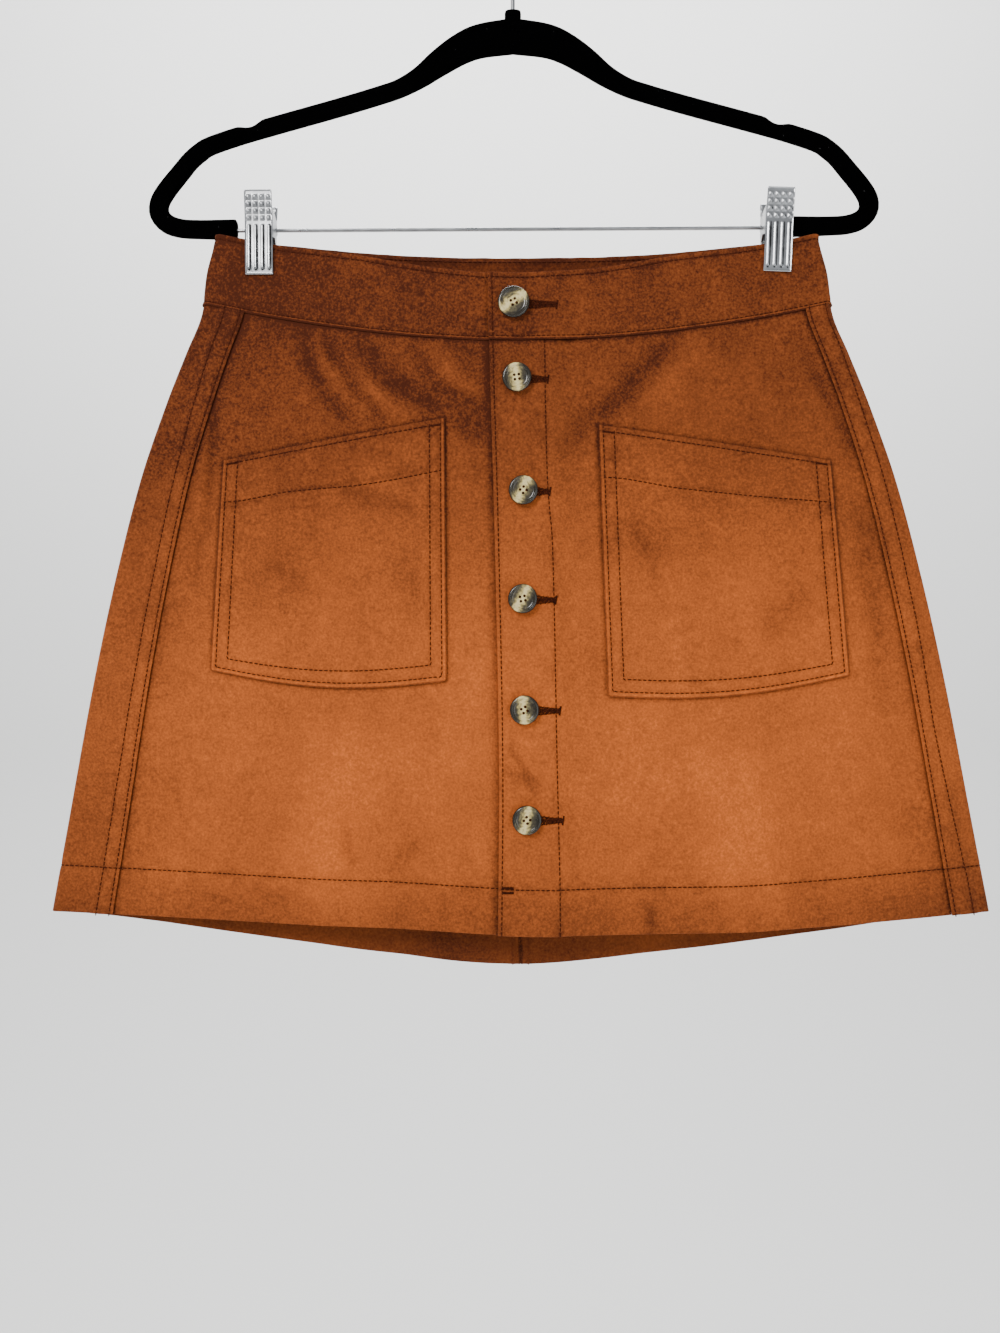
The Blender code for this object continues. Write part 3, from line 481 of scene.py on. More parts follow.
def suede(name, shade):
    """Short brushed nap: soft strokes and a fine grain, with painted light and shade in its colour: darker at
    the waist and the hem, towards the lower sides and to the left near the waist, and where the stored
    painted shade lies.
    """
    made, tree, shader = finish_of(name, Roughness=0.92, Specular_IOR_Level=0.12, Sheen_Weight=0.16,
                                   Sheen_Roughness=0.4, Sheen_Tint=SUEDE_SHEEN)
    where = nodes(tree, "ShaderNodeTexCoord").outputs["Object"]
    place = nodes(tree, "ShaderNodeSeparateXYZ", Vector=where).outputs
    lie = nodes(tree, "ShaderNodeAttribute", {"attribute_name": "shade"}).outputs["Fac"]
    down = nodes(tree, "ShaderNodeMapRange", Value=place["Z"], _1=TOP_Z, _2=TOP_Z - PAINTED_LIGHT_LENGTH).outputs[0]
    half = arithmetic(tree, "MULTIPLY_ADD", down, PAINTED_LIGHT_SPREAD, PAINTED_LIGHT_HALF)
    beside = arithmetic(tree, "DIVIDE", arithmetic(tree, "ABSOLUTE", place["X"]), half)
    beside = nodes(tree, "ShaderNodeMapRange", {"interpolation_type": "SMOOTHSTEP"}, Value=beside,
                   _1=0.72, _2=1.0, _3=0.0, _4=-PAINTED_SIDE_SHADE).outputs[0]
    # painted light and shade: darker at the waist and the hem, towards the lower sides and to the left near
    # the waist
    tone = ramp(tree, down, *((at, (value,) * 3) for at, value in PAINTED_LIGHT_DOWN))
    tone = arithmetic(tree, "MULTIPLY_ADD", beside, down, tone)
    rightwards = arithmetic(tree, "MULTIPLY", arithmetic(tree, "SUBTRACT", 1.0, down), PAINTED_RIGHT_LIGHT)
    tone = arithmetic(tree, "MULTIPLY_ADD", place["X"], rightwards, tone)
    for scale, detail, amount in NAP_PATCHES:
        patch = speckle(tree, where, scale, detail, 0.6)
        patch = arithmetic(tree, "MULTIPLY_ADD", patch, amount, -amount / 2)
        tone = arithmetic(tree, "ADD", tone, patch)
    # lie is the painted shade stored on the cloth, darkening the colour in troughs and beside edges
    tone = arithmetic(tree, "MULTIPLY_ADD", lie, PAINTED_SHADE_WEIGHT, tone)
    tone = arithmetic(tree, "MULTIPLY", tone, shade)
    colour = ramp(tree, tone, (0.0, SUEDE_DEEP), (1.0, SUEDE_GLOW), (0.36, SUEDE_MID), (0.72, SUEDE_BRIGHT))
    tree.links.new(colour, shader.inputs["Base Color"])
    grain = speckle(tree, where, 900.0, 2.0)
    nap = arithmetic(tree, "MULTIPLY_ADD", speckle(tree, where, 380.0, 2.0), 0.5, grain)
    bump(tree, shader, nap, 0.40, 0.0006)
    return made


def painted_shade_from(relief):
    """Painted shade, darker in the troughs and lighter on the ridges, from relief in metres."""
    return np.clip(relief / PAINTED_SHADE_RELIEF, -1, 1)


# the reverse is the same suede made darker: partly its own colour, partly painted shade on the inside of the
# skirt
suede_finish, reverse_finish = suede("brushed_suede", OUTSIDE_TONE), suede("suede_reverse", REVERSE_TONE_AND_SHADE)
seam_line, hem_line, top_line = level("seam"), level("hem"), level("top")
SEAM_ROWS = [(seam_line, GAP / 2), (seam_line, EDGE_CELL)]
HEM_ROWS = groove_guides(hem_line, -HEM_TURN) + [(hem_line, -EDGE_CELL), (hem_line, 0.0)]
PLACKET_EDGE = [(placket_x, 0.0), (placket_x, PLACKET_CELL)] + groove_guides(placket_x, EDGE_ROW)


def panel_rows(length):
    return between(SEAM_ROWS + HEM_ROWS, (1, round(length / WEAVE), 1, 1, round(HEM_TURN / WEAVE), 1))


def front_relief(x, drop, side):
    """What stitches, the side seam and small folds add to one front, outwards."""
    hem = drop - hem_line(x, drop, 0.0)
    made = groove(hem + HEM_TURN) + pucker(x, drop, hem + HEM_TURN, 41)
    made += crease(x, drop, *HEM_PUCKER) * (side > 0)
    made += ridge(np.abs(x) - np.abs(seam_x(side)(drop)), *SEAM_DIP)
    if side > 0:
        edge, facing = x - placket_x(drop), x - facing_x(drop)
        made += groove(edge - EDGE_ROW) + groove(facing) + pucker(x, drop, facing, 42)
        made += sum(crease(x, drop, *row) for row in PLACKET_CREASES)
        made += ridge(edge, *EDGE_DIP)
    return made


def painted_edge_shadow(side, x, drop):
    """1 where a painted shadow lies beside an edge that is sewn on top, fading out beside it."""
    lines = [drop - seam_line(x, drop, 0.0), x - seam_x(side)(drop)]
    lines += [outside_pocket(pocket, x, drop) for pocket in POCKETS.values()]
    made = sum(ridge(line, 1.0, EDGE_SHADOW_HALF) for line in lines)
    if side < 0:
        made = made + ridge(x - placket_x(drop), 1.0, LAP_SHADOW_HALF)
    return np.minimum(made, 1.0)


def lap_lift(x, drop):
    """How far the placket side is lifted by the button stand under it."""
    end = placket_x(drop) + LAP + GAP
    return (DOUBLE + GAP) * (1 - ease(end, end + LAP_FADE, x))


def front_panel(side):
    """From the placket's edge or the button stand to the side seam."""
    if side > 0:
        guides = PLACKET_EDGE + groove_guides(facing_x, 0.0) + [(seam_x(side), 0.0)]
        columns = between(guides, (1, 1, 1, 1, 16, 1, 1, 104))
    else:
        columns = between([(seam_x(side), 0.0), (placket_x, -STAND_UNDER), (placket_x, LAP)], (102, 18))
    rows = panel_rows(FRONT_DROP)
    x, drop = weave(columns, rows, 0.0)
    relief = front_relief(x, drop, side)
    lift = lap_lift(x, drop) if side > 0 else 0.0
    folded = x < placket_x(drop) + FACING if side > 0 else x > placket_x(drop) - STAND_DOUBLE
    double = (drop > hem_line(x, drop, 0.0) - HEM_TURN) | folded
    # painted shade: darker in the creases' troughs, the stitches' grooves and beside edges sewn on top,
    # lighter on ridges
    shade = CREASE_SHADE * creases("front", x, drop) * calm(x, drop)
    shade = shade + relief - EDGE_SHADOW_STRENGTH * painted_edge_shadow(side, x, drop)
    points = front_at(x, drop, lift + relief)
    raised = front_at(x, drop, lift + relief + THREAD_UP)
    hem = line_at(rows, hem_line, -HEM_TURN)
    if side > 0:
        edge, facing = line_at(columns, placket_x, EDGE_ROW), line_at(columns, facing_x, 0.0)
        stitched["fronts"] += [raised[1:-1, edge], raised[1:-1, facing], raised[hem, edge:]]
    else:
        stitched["fronts"].append(raised[hem])
    name = "right" if side > 0 else "left"
    made = cloth(f"front_{name}_cloth", points, painted_shade_from(shade), DOUBLE, double)
    sew_on(made, points, f"front_{name}_of_placket")


def round_the_side(side, x, drop, behind, lift):
    """Places cloth that lies on the front, goes round the side fold and lies on the back."""
    angle = np.arcsin(2 * behind - 1)
    turned = np.cos(angle)
    radius = fold_radius(drop)
    front_y = -(depth("front", x, drop) - radius)
    back_y = depth("back", x, drop) - radius
    front_share, back_share = np.maximum(-np.sin(angle), 0) ** 2, np.maximum(np.sin(angle), 0) ** 2
    y = (radius + lift) * np.sin(angle) + front_y * front_share + back_y * back_share
    return hang(x + side * (radius + lift) * turned, y, drop)


def back_columns(side, first, strip, back_counts):
    """Columns from the side seam round the fold to the middle of the back, and how far round."""
    flat = flat_x(side)
    on_front = between(first + [(flat, 0.0)], strip)
    fold = [(flat, 0.0, flat, 0.0, 0.0)] * (FOLD_CELLS - 1)
    centre = groove_guides(centre_x, side * CENTRE_ROW, -side)
    on_back = between([(flat, 0.0)] + centre + [(centre_x, 0.0), (centre_x, -side * CENTRE_LAP)], back_counts)
    turn = np.linspace(-np.pi / 2, np.pi / 2, FOLD_CELLS + 1)[1:-1]
    behind = np.concatenate([np.zeros(len(on_front)), (1 + np.sin(turn)) / 2, np.ones(len(on_back))])
    columns = on_front + fold + on_back
    return (columns, behind) if side > 0 else (columns[::-1], behind[::-1])


def seam_lift(side, x, drop, behind):
    """How far the seam's folded allowance lifts the strip between its two rows of stitches."""
    seam, second = side * (x - seam_x(side)(drop)), side * (x - second_row_x(side)(drop))
    past_seam = np.where(seam < 0.0, SEAM_EDGE, 1.0)
    return (behind < 0.01) * SEAM_LIFT * past_seam * (1 - ease(0.0, SEAM_FADE, second))


def back_relief(side, x, drop, behind):
    """What the rows of stitches, the hem and the centre seam add to a back."""
    on_front, on_back = behind < 0.01, behind > 0.99
    seam, second = side * (x - seam_x(side)(drop)), side * (x - second_row_x(side)(drop))
    made = on_front * (groove(seam - SEAM_ROW) + groove(second) + pucker(x, drop, seam - STRIP_MIDDLE, 43))
    made += on_back * LAP_SLOPE * np.minimum(side * x, 0.0)
    hem = drop - hem_line(x, drop, behind)
    made += groove(hem + HEM_TURN) + pucker(x, drop, hem + HEM_TURN, 44)
    middle = np.abs(x)
    made += on_back * (groove(middle - CENTRE_ROW) + pucker(x, drop, middle, 45)
                       + ridge(middle, *CENTRE_DIP))
    return made


def back_panel(side):
    seam, second = seam_x(side), second_row_x(side)
    first = [(seam, -side * SEAM_LAP), (seam, side * LAP_CELL)]
    first += groove_guides(seam, side * SEAM_ROW, side) + groove_guides(second, 0.0, side)
    columns, behind = back_columns(side, first, (1, 1, 1, 1, 4, 1, 1, 8), (118, 1, 1, 3, 1))
    rows = panel_rows(BACK_DROP)
    x, drop = weave(columns, rows, behind)
    behind = np.broadcast_to(behind, x.shape)
    relief = back_relief(side, x, drop, behind)
    # painted shade from the creases and the stitches' grooves, taken before the seam's lift is added
    shade = CREASE_SHADE * mix(creases("front", x, drop), creases("back", x, drop), behind) + relief
    relief = relief + seam_lift(side, x, drop, behind)
    points = round_the_side(side, x, drop, behind, relief)
    double = drop > hem_line(x, drop, behind) - HEM_TURN
    raised = round_the_side(side, x, drop, behind, relief + THREAD_UP)
    first_row, second_row = line_at(columns, seam, side * SEAM_ROW), line_at(columns, second, 0.0)
    centre_row = line_at(columns, centre_x, side * CENTRE_ROW)
    stitched["side_seams"] += [raised[:, first_row], raised[:, second_row]]
    stitched["backs"] += [raised[:, centre_row], raised[line_at(rows, hem_line, -HEM_TURN)]]
    name = "back_right" if side > 0 else "back_left"
    made = cloth(f"{name}_cloth", points, painted_shade_from(shade), DOUBLE, double)
    sew_on(made, points, name)


for make in (front_panel, back_panel):
    make(-1)
    make(1)

# ---------------------------------------------------------------- waistband
# A shaped band, two layers pressed together, sewn over the panels' top edges in three pieces.
# The right front one laps over the left one under the first button.

BAND = 0.0022
BAND_PROUD = 0.0004
BAND_LAP_FADE = 0.032
BAND_TOP_ROW, BAND_LOW_ROW = 0.0028, 0.0018
BAND_COVER, BAND_ROUND, BAND_TOP_CELL, BAND_LOW_CELL = 0.0005, 0.0005, 0.0009, 0.0004
BAND_ROLL_AT, BAND_ROLL, BAND_EDGE_SHADE = 0.0006, (0.0006, 0.0011), 0.0012


def band_lap_lift(x, drop):
    end = placket_x(drop) + LAP + GAP
    return (BAND + GAP) * (1 - ease(end, end + BAND_LAP_FADE, x))


def band_relief(x, drop, behind):
    """Rows of stitches near both edges, and the lower edge rolled over its seam."""
    top, low = drop - top_line(x, drop, behind), seam_line(x, drop, behind) - drop
    made = groove(top - BAND_TOP_ROW) + groove(low - BAND_LOW_ROW)
    made += pucker(x, drop, top - BAND_TOP_ROW, 51) + pucker(x, drop, low - BAND_LOW_ROW, 52)
    return made + BAND_PROUD + ridge(low - BAND_ROLL_AT, *BAND_ROLL)


def band_rows():
    guides = [(top_line, 0.0), (top_line, BAND_TOP_CELL)] + groove_guides(top_line, BAND_TOP_ROW)
    guides += groove_guides(seam_line, -BAND_LOW_ROW) + [(seam_line, -BAND_LOW_CELL), (seam_line, BAND_COVER)]
    return between(guides, (1, 1, 1, 1, 20, 1, 1, 1, 1))


def band_piece(name, points, raised, rows, relief, *replaced):
    for line, off in ((top_line, BAND_TOP_ROW), (seam_line, -BAND_LOW_ROW)):
        stitched["waistband"].append(raised[line_at(rows, line, off)])
    # painted shade from the grooves and the roll, and a painted shadow line along the band's lower edge
    shade = relief - BAND_PROUD
    shade[-2:] -= BAND_EDGE_SHADE
    sew_on(cloth(name, points, painted_shade_from(shade), BAND, round_edge=BAND_ROUND), points, *replaced)


def front_band(side):
    if side > 0:
        columns = between(PLACKET_EDGE + [(seam_x(side), 0.0)], (1, 1, 1, 1, 104))
    else:
        columns = between([(seam_x(side), 0.0), (placket_x, LAP)], (108,))
    rows = band_rows()
    x, drop = weave(columns, rows, 0.0)
    relief = band_relief(x, drop, 0.0)
    lift = relief
    if side > 0:
        relief += groove(x - placket_x(drop) - EDGE_ROW)
        lift = relief + band_lap_lift(x, drop)
    raised = front_at(x, drop, lift + THREAD_UP)
    if side > 0:
        edge = line_at(columns, placket_x, EDGE_ROW)
        top, low = line_at(rows, top_line, BAND_TOP_ROW), line_at(rows, seam_line, -BAND_LOW_ROW)
        stitched["waistband"].append(raised[top:low, edge])
        raised = raised[:, edge:]
    name = "waistband_front_right" if side > 0 else "waistband_front_left"
    band_piece(f"{name}_cloth", front_at(x, drop, lift), raised, rows, relief, name)


def back_band():
    """One piece from the left side seam round the back to the right one."""
    halves, rows = [], band_rows()
    for side in (1, -1):
        first = [(seam_x(side), 0.0)]
        columns, behind = back_columns(side, first, (12,), (96, 1, 1, 2, 1))
        x, drop = weave(columns, rows, behind)
        behind = np.broadcast_to(behind, x.shape)
        relief = band_relief(x, drop, behind)[..., None]
        halves.append([round_the_side(side, x, drop, behind, relief[..., 0] + up)
                       for up in (0.0, THREAD_UP, -BAND - THREAD_UP)] + [relief])
    points, raised, inside, relief = (np.concatenate([right[:, :-2], left[:, 1:]], axis=1)
                                      for right, left in zip(*halves))
    stitched["waistband"].append(inside[line_at(rows, top_line, BAND_TOP_ROW)])
    band_piece("waistband_back_cloth", points, raised, rows, relief[..., 0],
               "waistband_back_left", "waistband_back_right")


front_band(-1)
front_band(1)
back_band()

# ---------------------------------------------------------------- patch pockets
# A patch on each front with a slanted mouth, faced on the inside and held by two rows of
# stitches round its sides and lower edge. The mouth stands a little open.

PATCH = 0.0012
MOUTH, MOUTH_SHARE = 0.0014, 0.35
POCKET_ROWS = (0.0030, 0.0098)
POCKET_CORNER = 0.0034
# height and half width of the pressed rim, of the roll beside it, of the mouth and of the painted shadow
# round the rim
POCKET_RIM, POCKET_ROLL_AT, POCKET_ROLL = (-0.0005, 0.0008), 0.0014, (0.00055, 0.0010)
MOUTH_RIM, RIM_SHADE = (-0.0003, 0.0009), (-0.0016, 0.0006)
DENT_FADE = (0.010, 0.020)
ROW_STEP, RIM_CELL, MOUTH_CELL = 0.0012, 0.0005, 0.0009
POCKET_DENTS = {
    "pocket_left": [(0.009, -0.0004, (-0.151, 0.194), (-0.137, 0.206), (-0.124, 0.207)),
                    (0.007, -0.0005, (-0.108, 0.157), (-0.082, 0.162), (-0.054, 0.170)),
                    (0.009, -0.0004, (-0.074, 0.192), (-0.063, 0.210), (-0.057, 0.224))],
    "pocket_right": [(0.009, -0.0005, (0.062, 0.168), (0.074, 0.187), (0.092, 0.195)),
                     (0.010, -0.0004, (0.142, 0.240), (0.160, 0.228), (0.176, 0.214)),
                     (0.007, -0.0004, (0.168, 0.258), (0.176, 0.261), (0.187, 0.260))],
}


def pocket_grid(pocket, s, t):
    """x and drop of a place in the pocket, s across it and t down it."""
    (x0, drop0), (x1, drop1) = pocket["top_left"], pocket["top_right"]
    (x2, drop2), (x3, drop3) = pocket["bottom_left"], pocket["bottom_right"]
    low = mix(drop2, drop3, s) + pocket["bow"] * np.sin(np.pi * s)
    return mix(mix(x0, x1, s), mix(x2, x3, s), t), mix(mix(drop0, drop1, s), low, t)


def pocket_size(pocket):
    wide = pocket["bottom_right"][0] - pocket["bottom_left"][0]
    high = (pocket["bottom_left"][1] + pocket["bottom_right"][1]
            - pocket["top_left"][1] - pocket["top_right"][1]) / 2
    return wide, high


def steps_to(stops, spacing):
    """Places at about equal spacing that include every stop."""
    made = [np.linspace(a, b, max(1, round((b - a) / spacing)), endpoint=False)
            for a, b in zip(stops, stops[1:])]
    return np.append(np.concatenate(made), stops[-1])


def rounded(a, b, size, corner):
    """Moves grid places near a rectangle's lower corners onto a round of the corner's radius."""
    (wide, high), (p, q) = size, (a.copy(), b.copy())
    for at_right in (False, True):
        u = np.clip((a - (wide - corner)) / corner if at_right else (corner - a) / corner, 0, 1)
        v = np.clip((b - (high - corner)) / corner, 0, 1)
        inside = (u > 0) & (v > 0)
        du, dv = u * np.sqrt(1 - v * v / 2), v * np.sqrt(1 - u * u / 2)
        p = np.where(inside, wide - corner + corner * du if at_right else corner - corner * du, p)
        q = np.where(inside, high - corner + corner * dv, q)
    return p, q


def pocket_lift(name, s, t, x, drop):
    """How far the pocket's outer face stands out from the panel, and its own relief."""
    pocket = POCKETS[name]
    wide, high = pocket_size(pocket)
    edge = np.minimum(np.minimum(s, 1 - s) * wide, (1 - t) * high)
    mouth_edge = t * high
    outer, inner = POCKET_ROWS
    facing = drop - through(s, *pocket["facing"])
    relief = groove(edge - outer) + groove(edge - inner) * (mouth_edge > outer)
    relief += groove(mouth_edge - outer) + groove(facing) + pucker(x, drop, edge - inner, 61)
    relief += pucker(x, drop, facing, 62) + ridge(edge, *POCKET_RIM)
    relief += ridge(edge - POCKET_ROLL_AT, *POCKET_ROLL)
    relief += ridge(mouth_edge, *MOUTH_RIM)
    relief += sum(crease(x, drop, *row) for row in POCKET_DENTS[name]) * ease(*DENT_FADE, edge)
    open_ = MOUTH * np.sin(np.pi * s) * (1 - ease(0.0, MOUTH_SHARE, t))
    return GAP + PATCH + lap_lift(x, drop) * (x > 0) + open_, relief


def on_pocket(name, a, b, up=0.0):
    """Points of a pocket's face, a across it and b down it, and the relief there."""
    pocket = POCKETS[name]
    wide, high = pocket_size(pocket)
    s, t = a / wide, b / high
    x, drop = pocket_grid(pocket, s, t)
    lift, relief = pocket_lift(name, s, t, x, drop)
    return front_at(x, drop, lift + relief + up), relief


def pocket_stitches(pocket):
    """Rows round the sides and lower edge, along the mouth and along the facing."""
    (wide, high), outer = pocket_size(pocket), POCKET_ROWS[0]
    routes = [[(row, outer), (row, high - row), (wide - row, high - row), (wide - row, outer)]
              for row in POCKET_ROWS] + [[(outer, outer), (wide - outer, outer)]]
    for route in routes:
        legs = [np.linspace(start, end, round(math.dist(start, end) / ROW_STEP), endpoint=False)
                for start, end in zip(route, route[1:])]
        yield tuple(np.concatenate(legs + [[route[-1]]]).T)
    share = np.linspace(outer / wide, 1 - outer / wide, round(wide / ROW_STEP))
    drop = through(share, *pocket["facing"])
    (_, drop0), (_, drop1) = pocket["top_left"], pocket["top_right"]
    yield share * wide, drop - mix(drop0, drop1, share)


def patch_pocket(name):
    pocket = POCKETS[name]
    wide, high = pocket_size(pocket)
    outer, inner = POCKET_ROWS
    side_stops = [0.0, RIM_CELL, EDGE_CELL] + groove_stops(outer, inner)
    across = steps_to(side_stops + [wide - stop for stop in reversed(side_stops)], WEAVE)
    facing = float(np.mean(pocket["facing"][1])) - (pocket["top_left"][1] + pocket["top_right"][1]) / 2
    down_stops = [0.0, MOUTH_CELL] + groove_stops(outer) + [facing] + groove_stops(high - inner, high - outer)
    down = steps_to(down_stops + [high - EDGE_CELL, high - RIM_CELL, high], WEAVE)
    a, b = rounded(*np.meshgrid(across, down), (wide, high), POCKET_CORNER)
    points, relief = on_pocket(name, a, b)
    rim = np.minimum(np.minimum(a, wide - a), high - b)
    # painted shade from the pocket's relief, and a painted shadow line round its rim
    made = cloth(f"{name}_cloth", points, painted_shade_from(relief + ridge(rim, *RIM_SHADE)), PATCH)
    stitched["pockets"] += [on_pocket(name, *row, THREAD_UP)[0] for row in pocket_stitches(pocket)]
    sew_on(made, points, name)


for pocket_name in POCKETS:
    patch_pocket(pocket_name)

# ---------------------------------------------------------------- topstitching
# Dark rust thread in stitches of about three millimetres, pulled a little into the nap, along
# every seam, edge and hem. The same thread is worked close together in the bar tacks.

# pitch, length and radius of the stitches
TOPSTITCH, TACK = (0.0030, 0.0025, 0.00038), (0.00050, 0.0016, 0.00026)
TACK_DOWN = 0.0004
FOOT_TACKS, FOOT_TACK_FROM, FOOT_TACK_TO = (-0.0012, 0.0016), -0.0110, -0.0045
THREAD_DARK, THREAD_LIGHT = (0.028, 0.0060, 0.0028), (0.090, 0.019, 0.0070)


def thread_finish():
    made, tree, shader = finish_of("rust_thread", Roughness=0.85, Specular_IOR_Level=0.06)
    where = nodes(tree, "ShaderNodeTexCoord").outputs["Object"]
    tree.links.new(ramp(tree, speckle(tree, where, 900.0, 2.0), (0.3, THREAD_DARK), (0.75, THREAD_LIGHT)),
                   shader.inputs["Base Color"])
    twist = nodes(tree, "ShaderNodeTexWave", {"bands_direction": "DIAGONAL"}, Vector=where, Scale=900.0)
    bump(tree, shader, twist.outputs["Fac"], 0.5, 0.0002)
    return made


def stitch_tree():
    """Geometry nodes that lay stitches one after another along a row, or side by side across it."""
    tree = bpy.data.node_groups.new("stitches", "GeometryNodeTree")
    for name, kind, way in (("Row", "Geometry", "INPUT"), ("Pitch", "Float", "INPUT"),
                            ("Length", "Float", "INPUT"), ("Radius", "Float", "INPUT"),
                            ("Across", "Float", "INPUT"), ("Finish", "Material", "INPUT"),
                            ("Stitches", "Geometry", "OUTPUT")):
        tree.interface.new_socket(name, in_out=way, socket_type=f"NodeSocket{kind}")
    given = tree.nodes.new("NodeGroupInput").outputs
    spaced = nodes(tree, "GeometryNodeResampleCurve", {"mode": "LENGTH"}, Curve=given["Row"],
                   Length=given["Pitch"]).outputs[0]
    along = nodes(tree, "GeometryNodeInputTangent").outputs[0]
    over = nodes(tree, "ShaderNodeVectorMath", {"operation": "CROSS_PRODUCT"}, _0=along,
                 _1=(0.0, 1.0, 0.0)).outputs[0]
    way = nodes(tree, "ShaderNodeMix", {"data_type": "VECTOR"}, _0=given["Across"], _4=along,
                _5=over).outputs[1]
    uneven = nodes(tree, "FunctionNodeRandomValue", {"data_type": "FLOAT_VECTOR"}, _0=(-0.09,) * 3,
                   _1=(0.09,) * 3, _8=7).outputs[0]
    way = nodes(tree, "ShaderNodeVectorMath", _0=way, _1=uneven).outputs[0]
    turn = nodes(tree, "FunctionNodeAlignRotationToVector", {"axis": "Z"}, Vector=way).outputs[0]
    ball = nodes(tree, "GeometryNodeMeshUVSphere", Segments=6, Rings=5, Radius=1.0).outputs[0]
    half = nodes(tree, "ShaderNodeMath", {"operation": "MULTIPLY"}, _0=given["Length"], _1=0.5).outputs[0]
    size = nodes(tree, "ShaderNodeCombineXYZ", X=given["Radius"], Y=given["Radius"], Z=half).outputs[0]
    stitch = nodes(tree, "GeometryNodeTransform", Geometry=ball, Scale=size).outputs[0]
    stitch = nodes(tree, "GeometryNodeSetShadeSmooth", Geometry=stitch).outputs[0]
    placed = nodes(tree, "GeometryNodeInstanceOnPoints", Points=spaced, Instance=stitch,
                   Rotation=turn).outputs[0]
    real = nodes(tree, "GeometryNodeRealizeInstances", Geometry=placed).outputs[0]
    done = nodes(tree, "GeometryNodeSetMaterial", Geometry=real, Material=given["Finish"]).outputs[0]
    tree.links.new(done, tree.nodes.new("NodeGroupOutput").inputs[0])
    return tree


stitches, thread_material = stitch_tree(), thread_finish()


def baked(obj, name):
    """The object's finished mesh, with the object itself cleared away."""
    mesh = bpy.data.meshes.new_from_object(obj.evaluated_get(bpy.context.evaluated_depsgraph_get()))
    mesh.name = name
    bpy.data.objects.remove(obj, do_unlink=True)
    return mesh


def work_thread(name, rows, pitch, length, radius, across=0.0):
    """Stitches along rows of points, as one plain mesh."""
    curve = bpy.data.curves.new(name, "CURVE")
    curve.dimensions = "3D"
    for row in rows:
        spline = curve.splines.new("POLY")
        spline.points.add(len(row) - 1)
        spline.points.foreach_set("co", np.column_stack([row, np.ones(len(row))]).ravel())
    worked = linked(f"{name}_rows", curve)
    sewing = worked.modifiers.new("sewing", "NODES")
    sewing.node_group = stitches
    sizes = {"Pitch": pitch, "Length": length, "Radius": radius, "Across": across,
             "Finish": thread_material}
    for item in stitches.interface.items_tree:
        if item.name in sizes:
            sewing[item.identifier] = sizes[item.name]
    made = linked(name, baked(worked, name))
    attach(made, "root")


def on_placket(x, drop, up=THREAD_UP):
    """A place on the right front's face, or on the waistband's above its seam."""
    band = drop < seam_line(x, drop, 0.0)
    lift = np.where(band, BAND_PROUD + band_lap_lift(x, drop), lap_lift(x, drop) + front_relief(x, drop, 1))
    return front_at(x, drop, lift + up)


def bar(x0, drop0, x1, drop1):
    """A short row for a bar tack."""
    t = np.linspace(0, 1, 12)
    return mix(x0, x1, t), mix(drop0, drop1, t)


def bar_tacks():
    """Across both top corners of each pocket, and at the placket's foot."""
    rows = []
    outer, inner = POCKET_ROWS
    for name, pocket in POCKETS.items():
        wide = pocket_size(pocket)[0]
        for start, end in ((outer, inner), (wide - inner, wide - outer)):
            tack = bar(start, outer + TACK_DOWN, end, outer + TACK_DOWN)
            rows.append(on_pocket(name, *tack, THREAD_UP)[0])
    foot = float(LEVELS["front_hem"][0]) - HEM_TURN
    for below in FOOT_TACKS:
        rows.append(on_placket(*bar(FOOT_TACK_FROM, foot + below, FOOT_TACK_TO, foot + below)))
    return rows


for group_name, rows in stitched.items():
    work_thread(f"topstitching_{group_name}", rows, *TOPSTITCH)
work_thread("bar_tacks", bar_tacks(), *TACK, 1.0)

# ---------------------------------------------------------------- buttonholes
# Five slits down the placket and one in the waistband, each bound with two rows of twisted
# loops and closed with an upright bar at its far end. The buttons sit at their near ends.

BUTTONS = [  # drop, how far off their line they are sewn, width, turn of the holes, turn of the streak
    (0.0450, -0.0011, 0.0188, 25, 32),
    (0.0893, -0.0002, 0.0174, 8, 100),
    (0.1559, 0.0016, 0.0174, 40, 64),
    (0.2201, -0.0004, 0.0174, 12, 62),
    (0.2856, -0.0007, 0.0174, 30, 96),
    (0.3504, 0.0004, 0.0174, 52, 76),
]
HOLE_ENDS = (0.0226, 0.0170, 0.0178, 0.0210, 0.0230, 0.0244)  # x of the far ends
HOLE_HALF_NEAR, HOLE_HALF_FAR = 0.0027, 0.0012
HOLE_BELOW, HOLE_BESIDE, HOLE_ROUND = 0.0006, 0.002, 0.003
HOLE_BAR, HOLE_SLANT, BAR_PAST = 0.0050, 0.0008, 0.0004
LOOP_STITCH, BAR_STITCH = (0.00095, 0.0019, 0.00030), (0.00045, 0.0013, 0.00025)
SLIT_STITCH = (0.0014, 0.0022, 0.00035)
HOLE_LINES, HOLE_LEAN = (-0.9, -0.35, 0.35, 0.9), 0.42
HOLE_WAVE, HOLE_WAVES = 0.00025, 2600


def button_x(row):
    return float(placket_x(row[0])) + BUTTON_LINE + row[1]


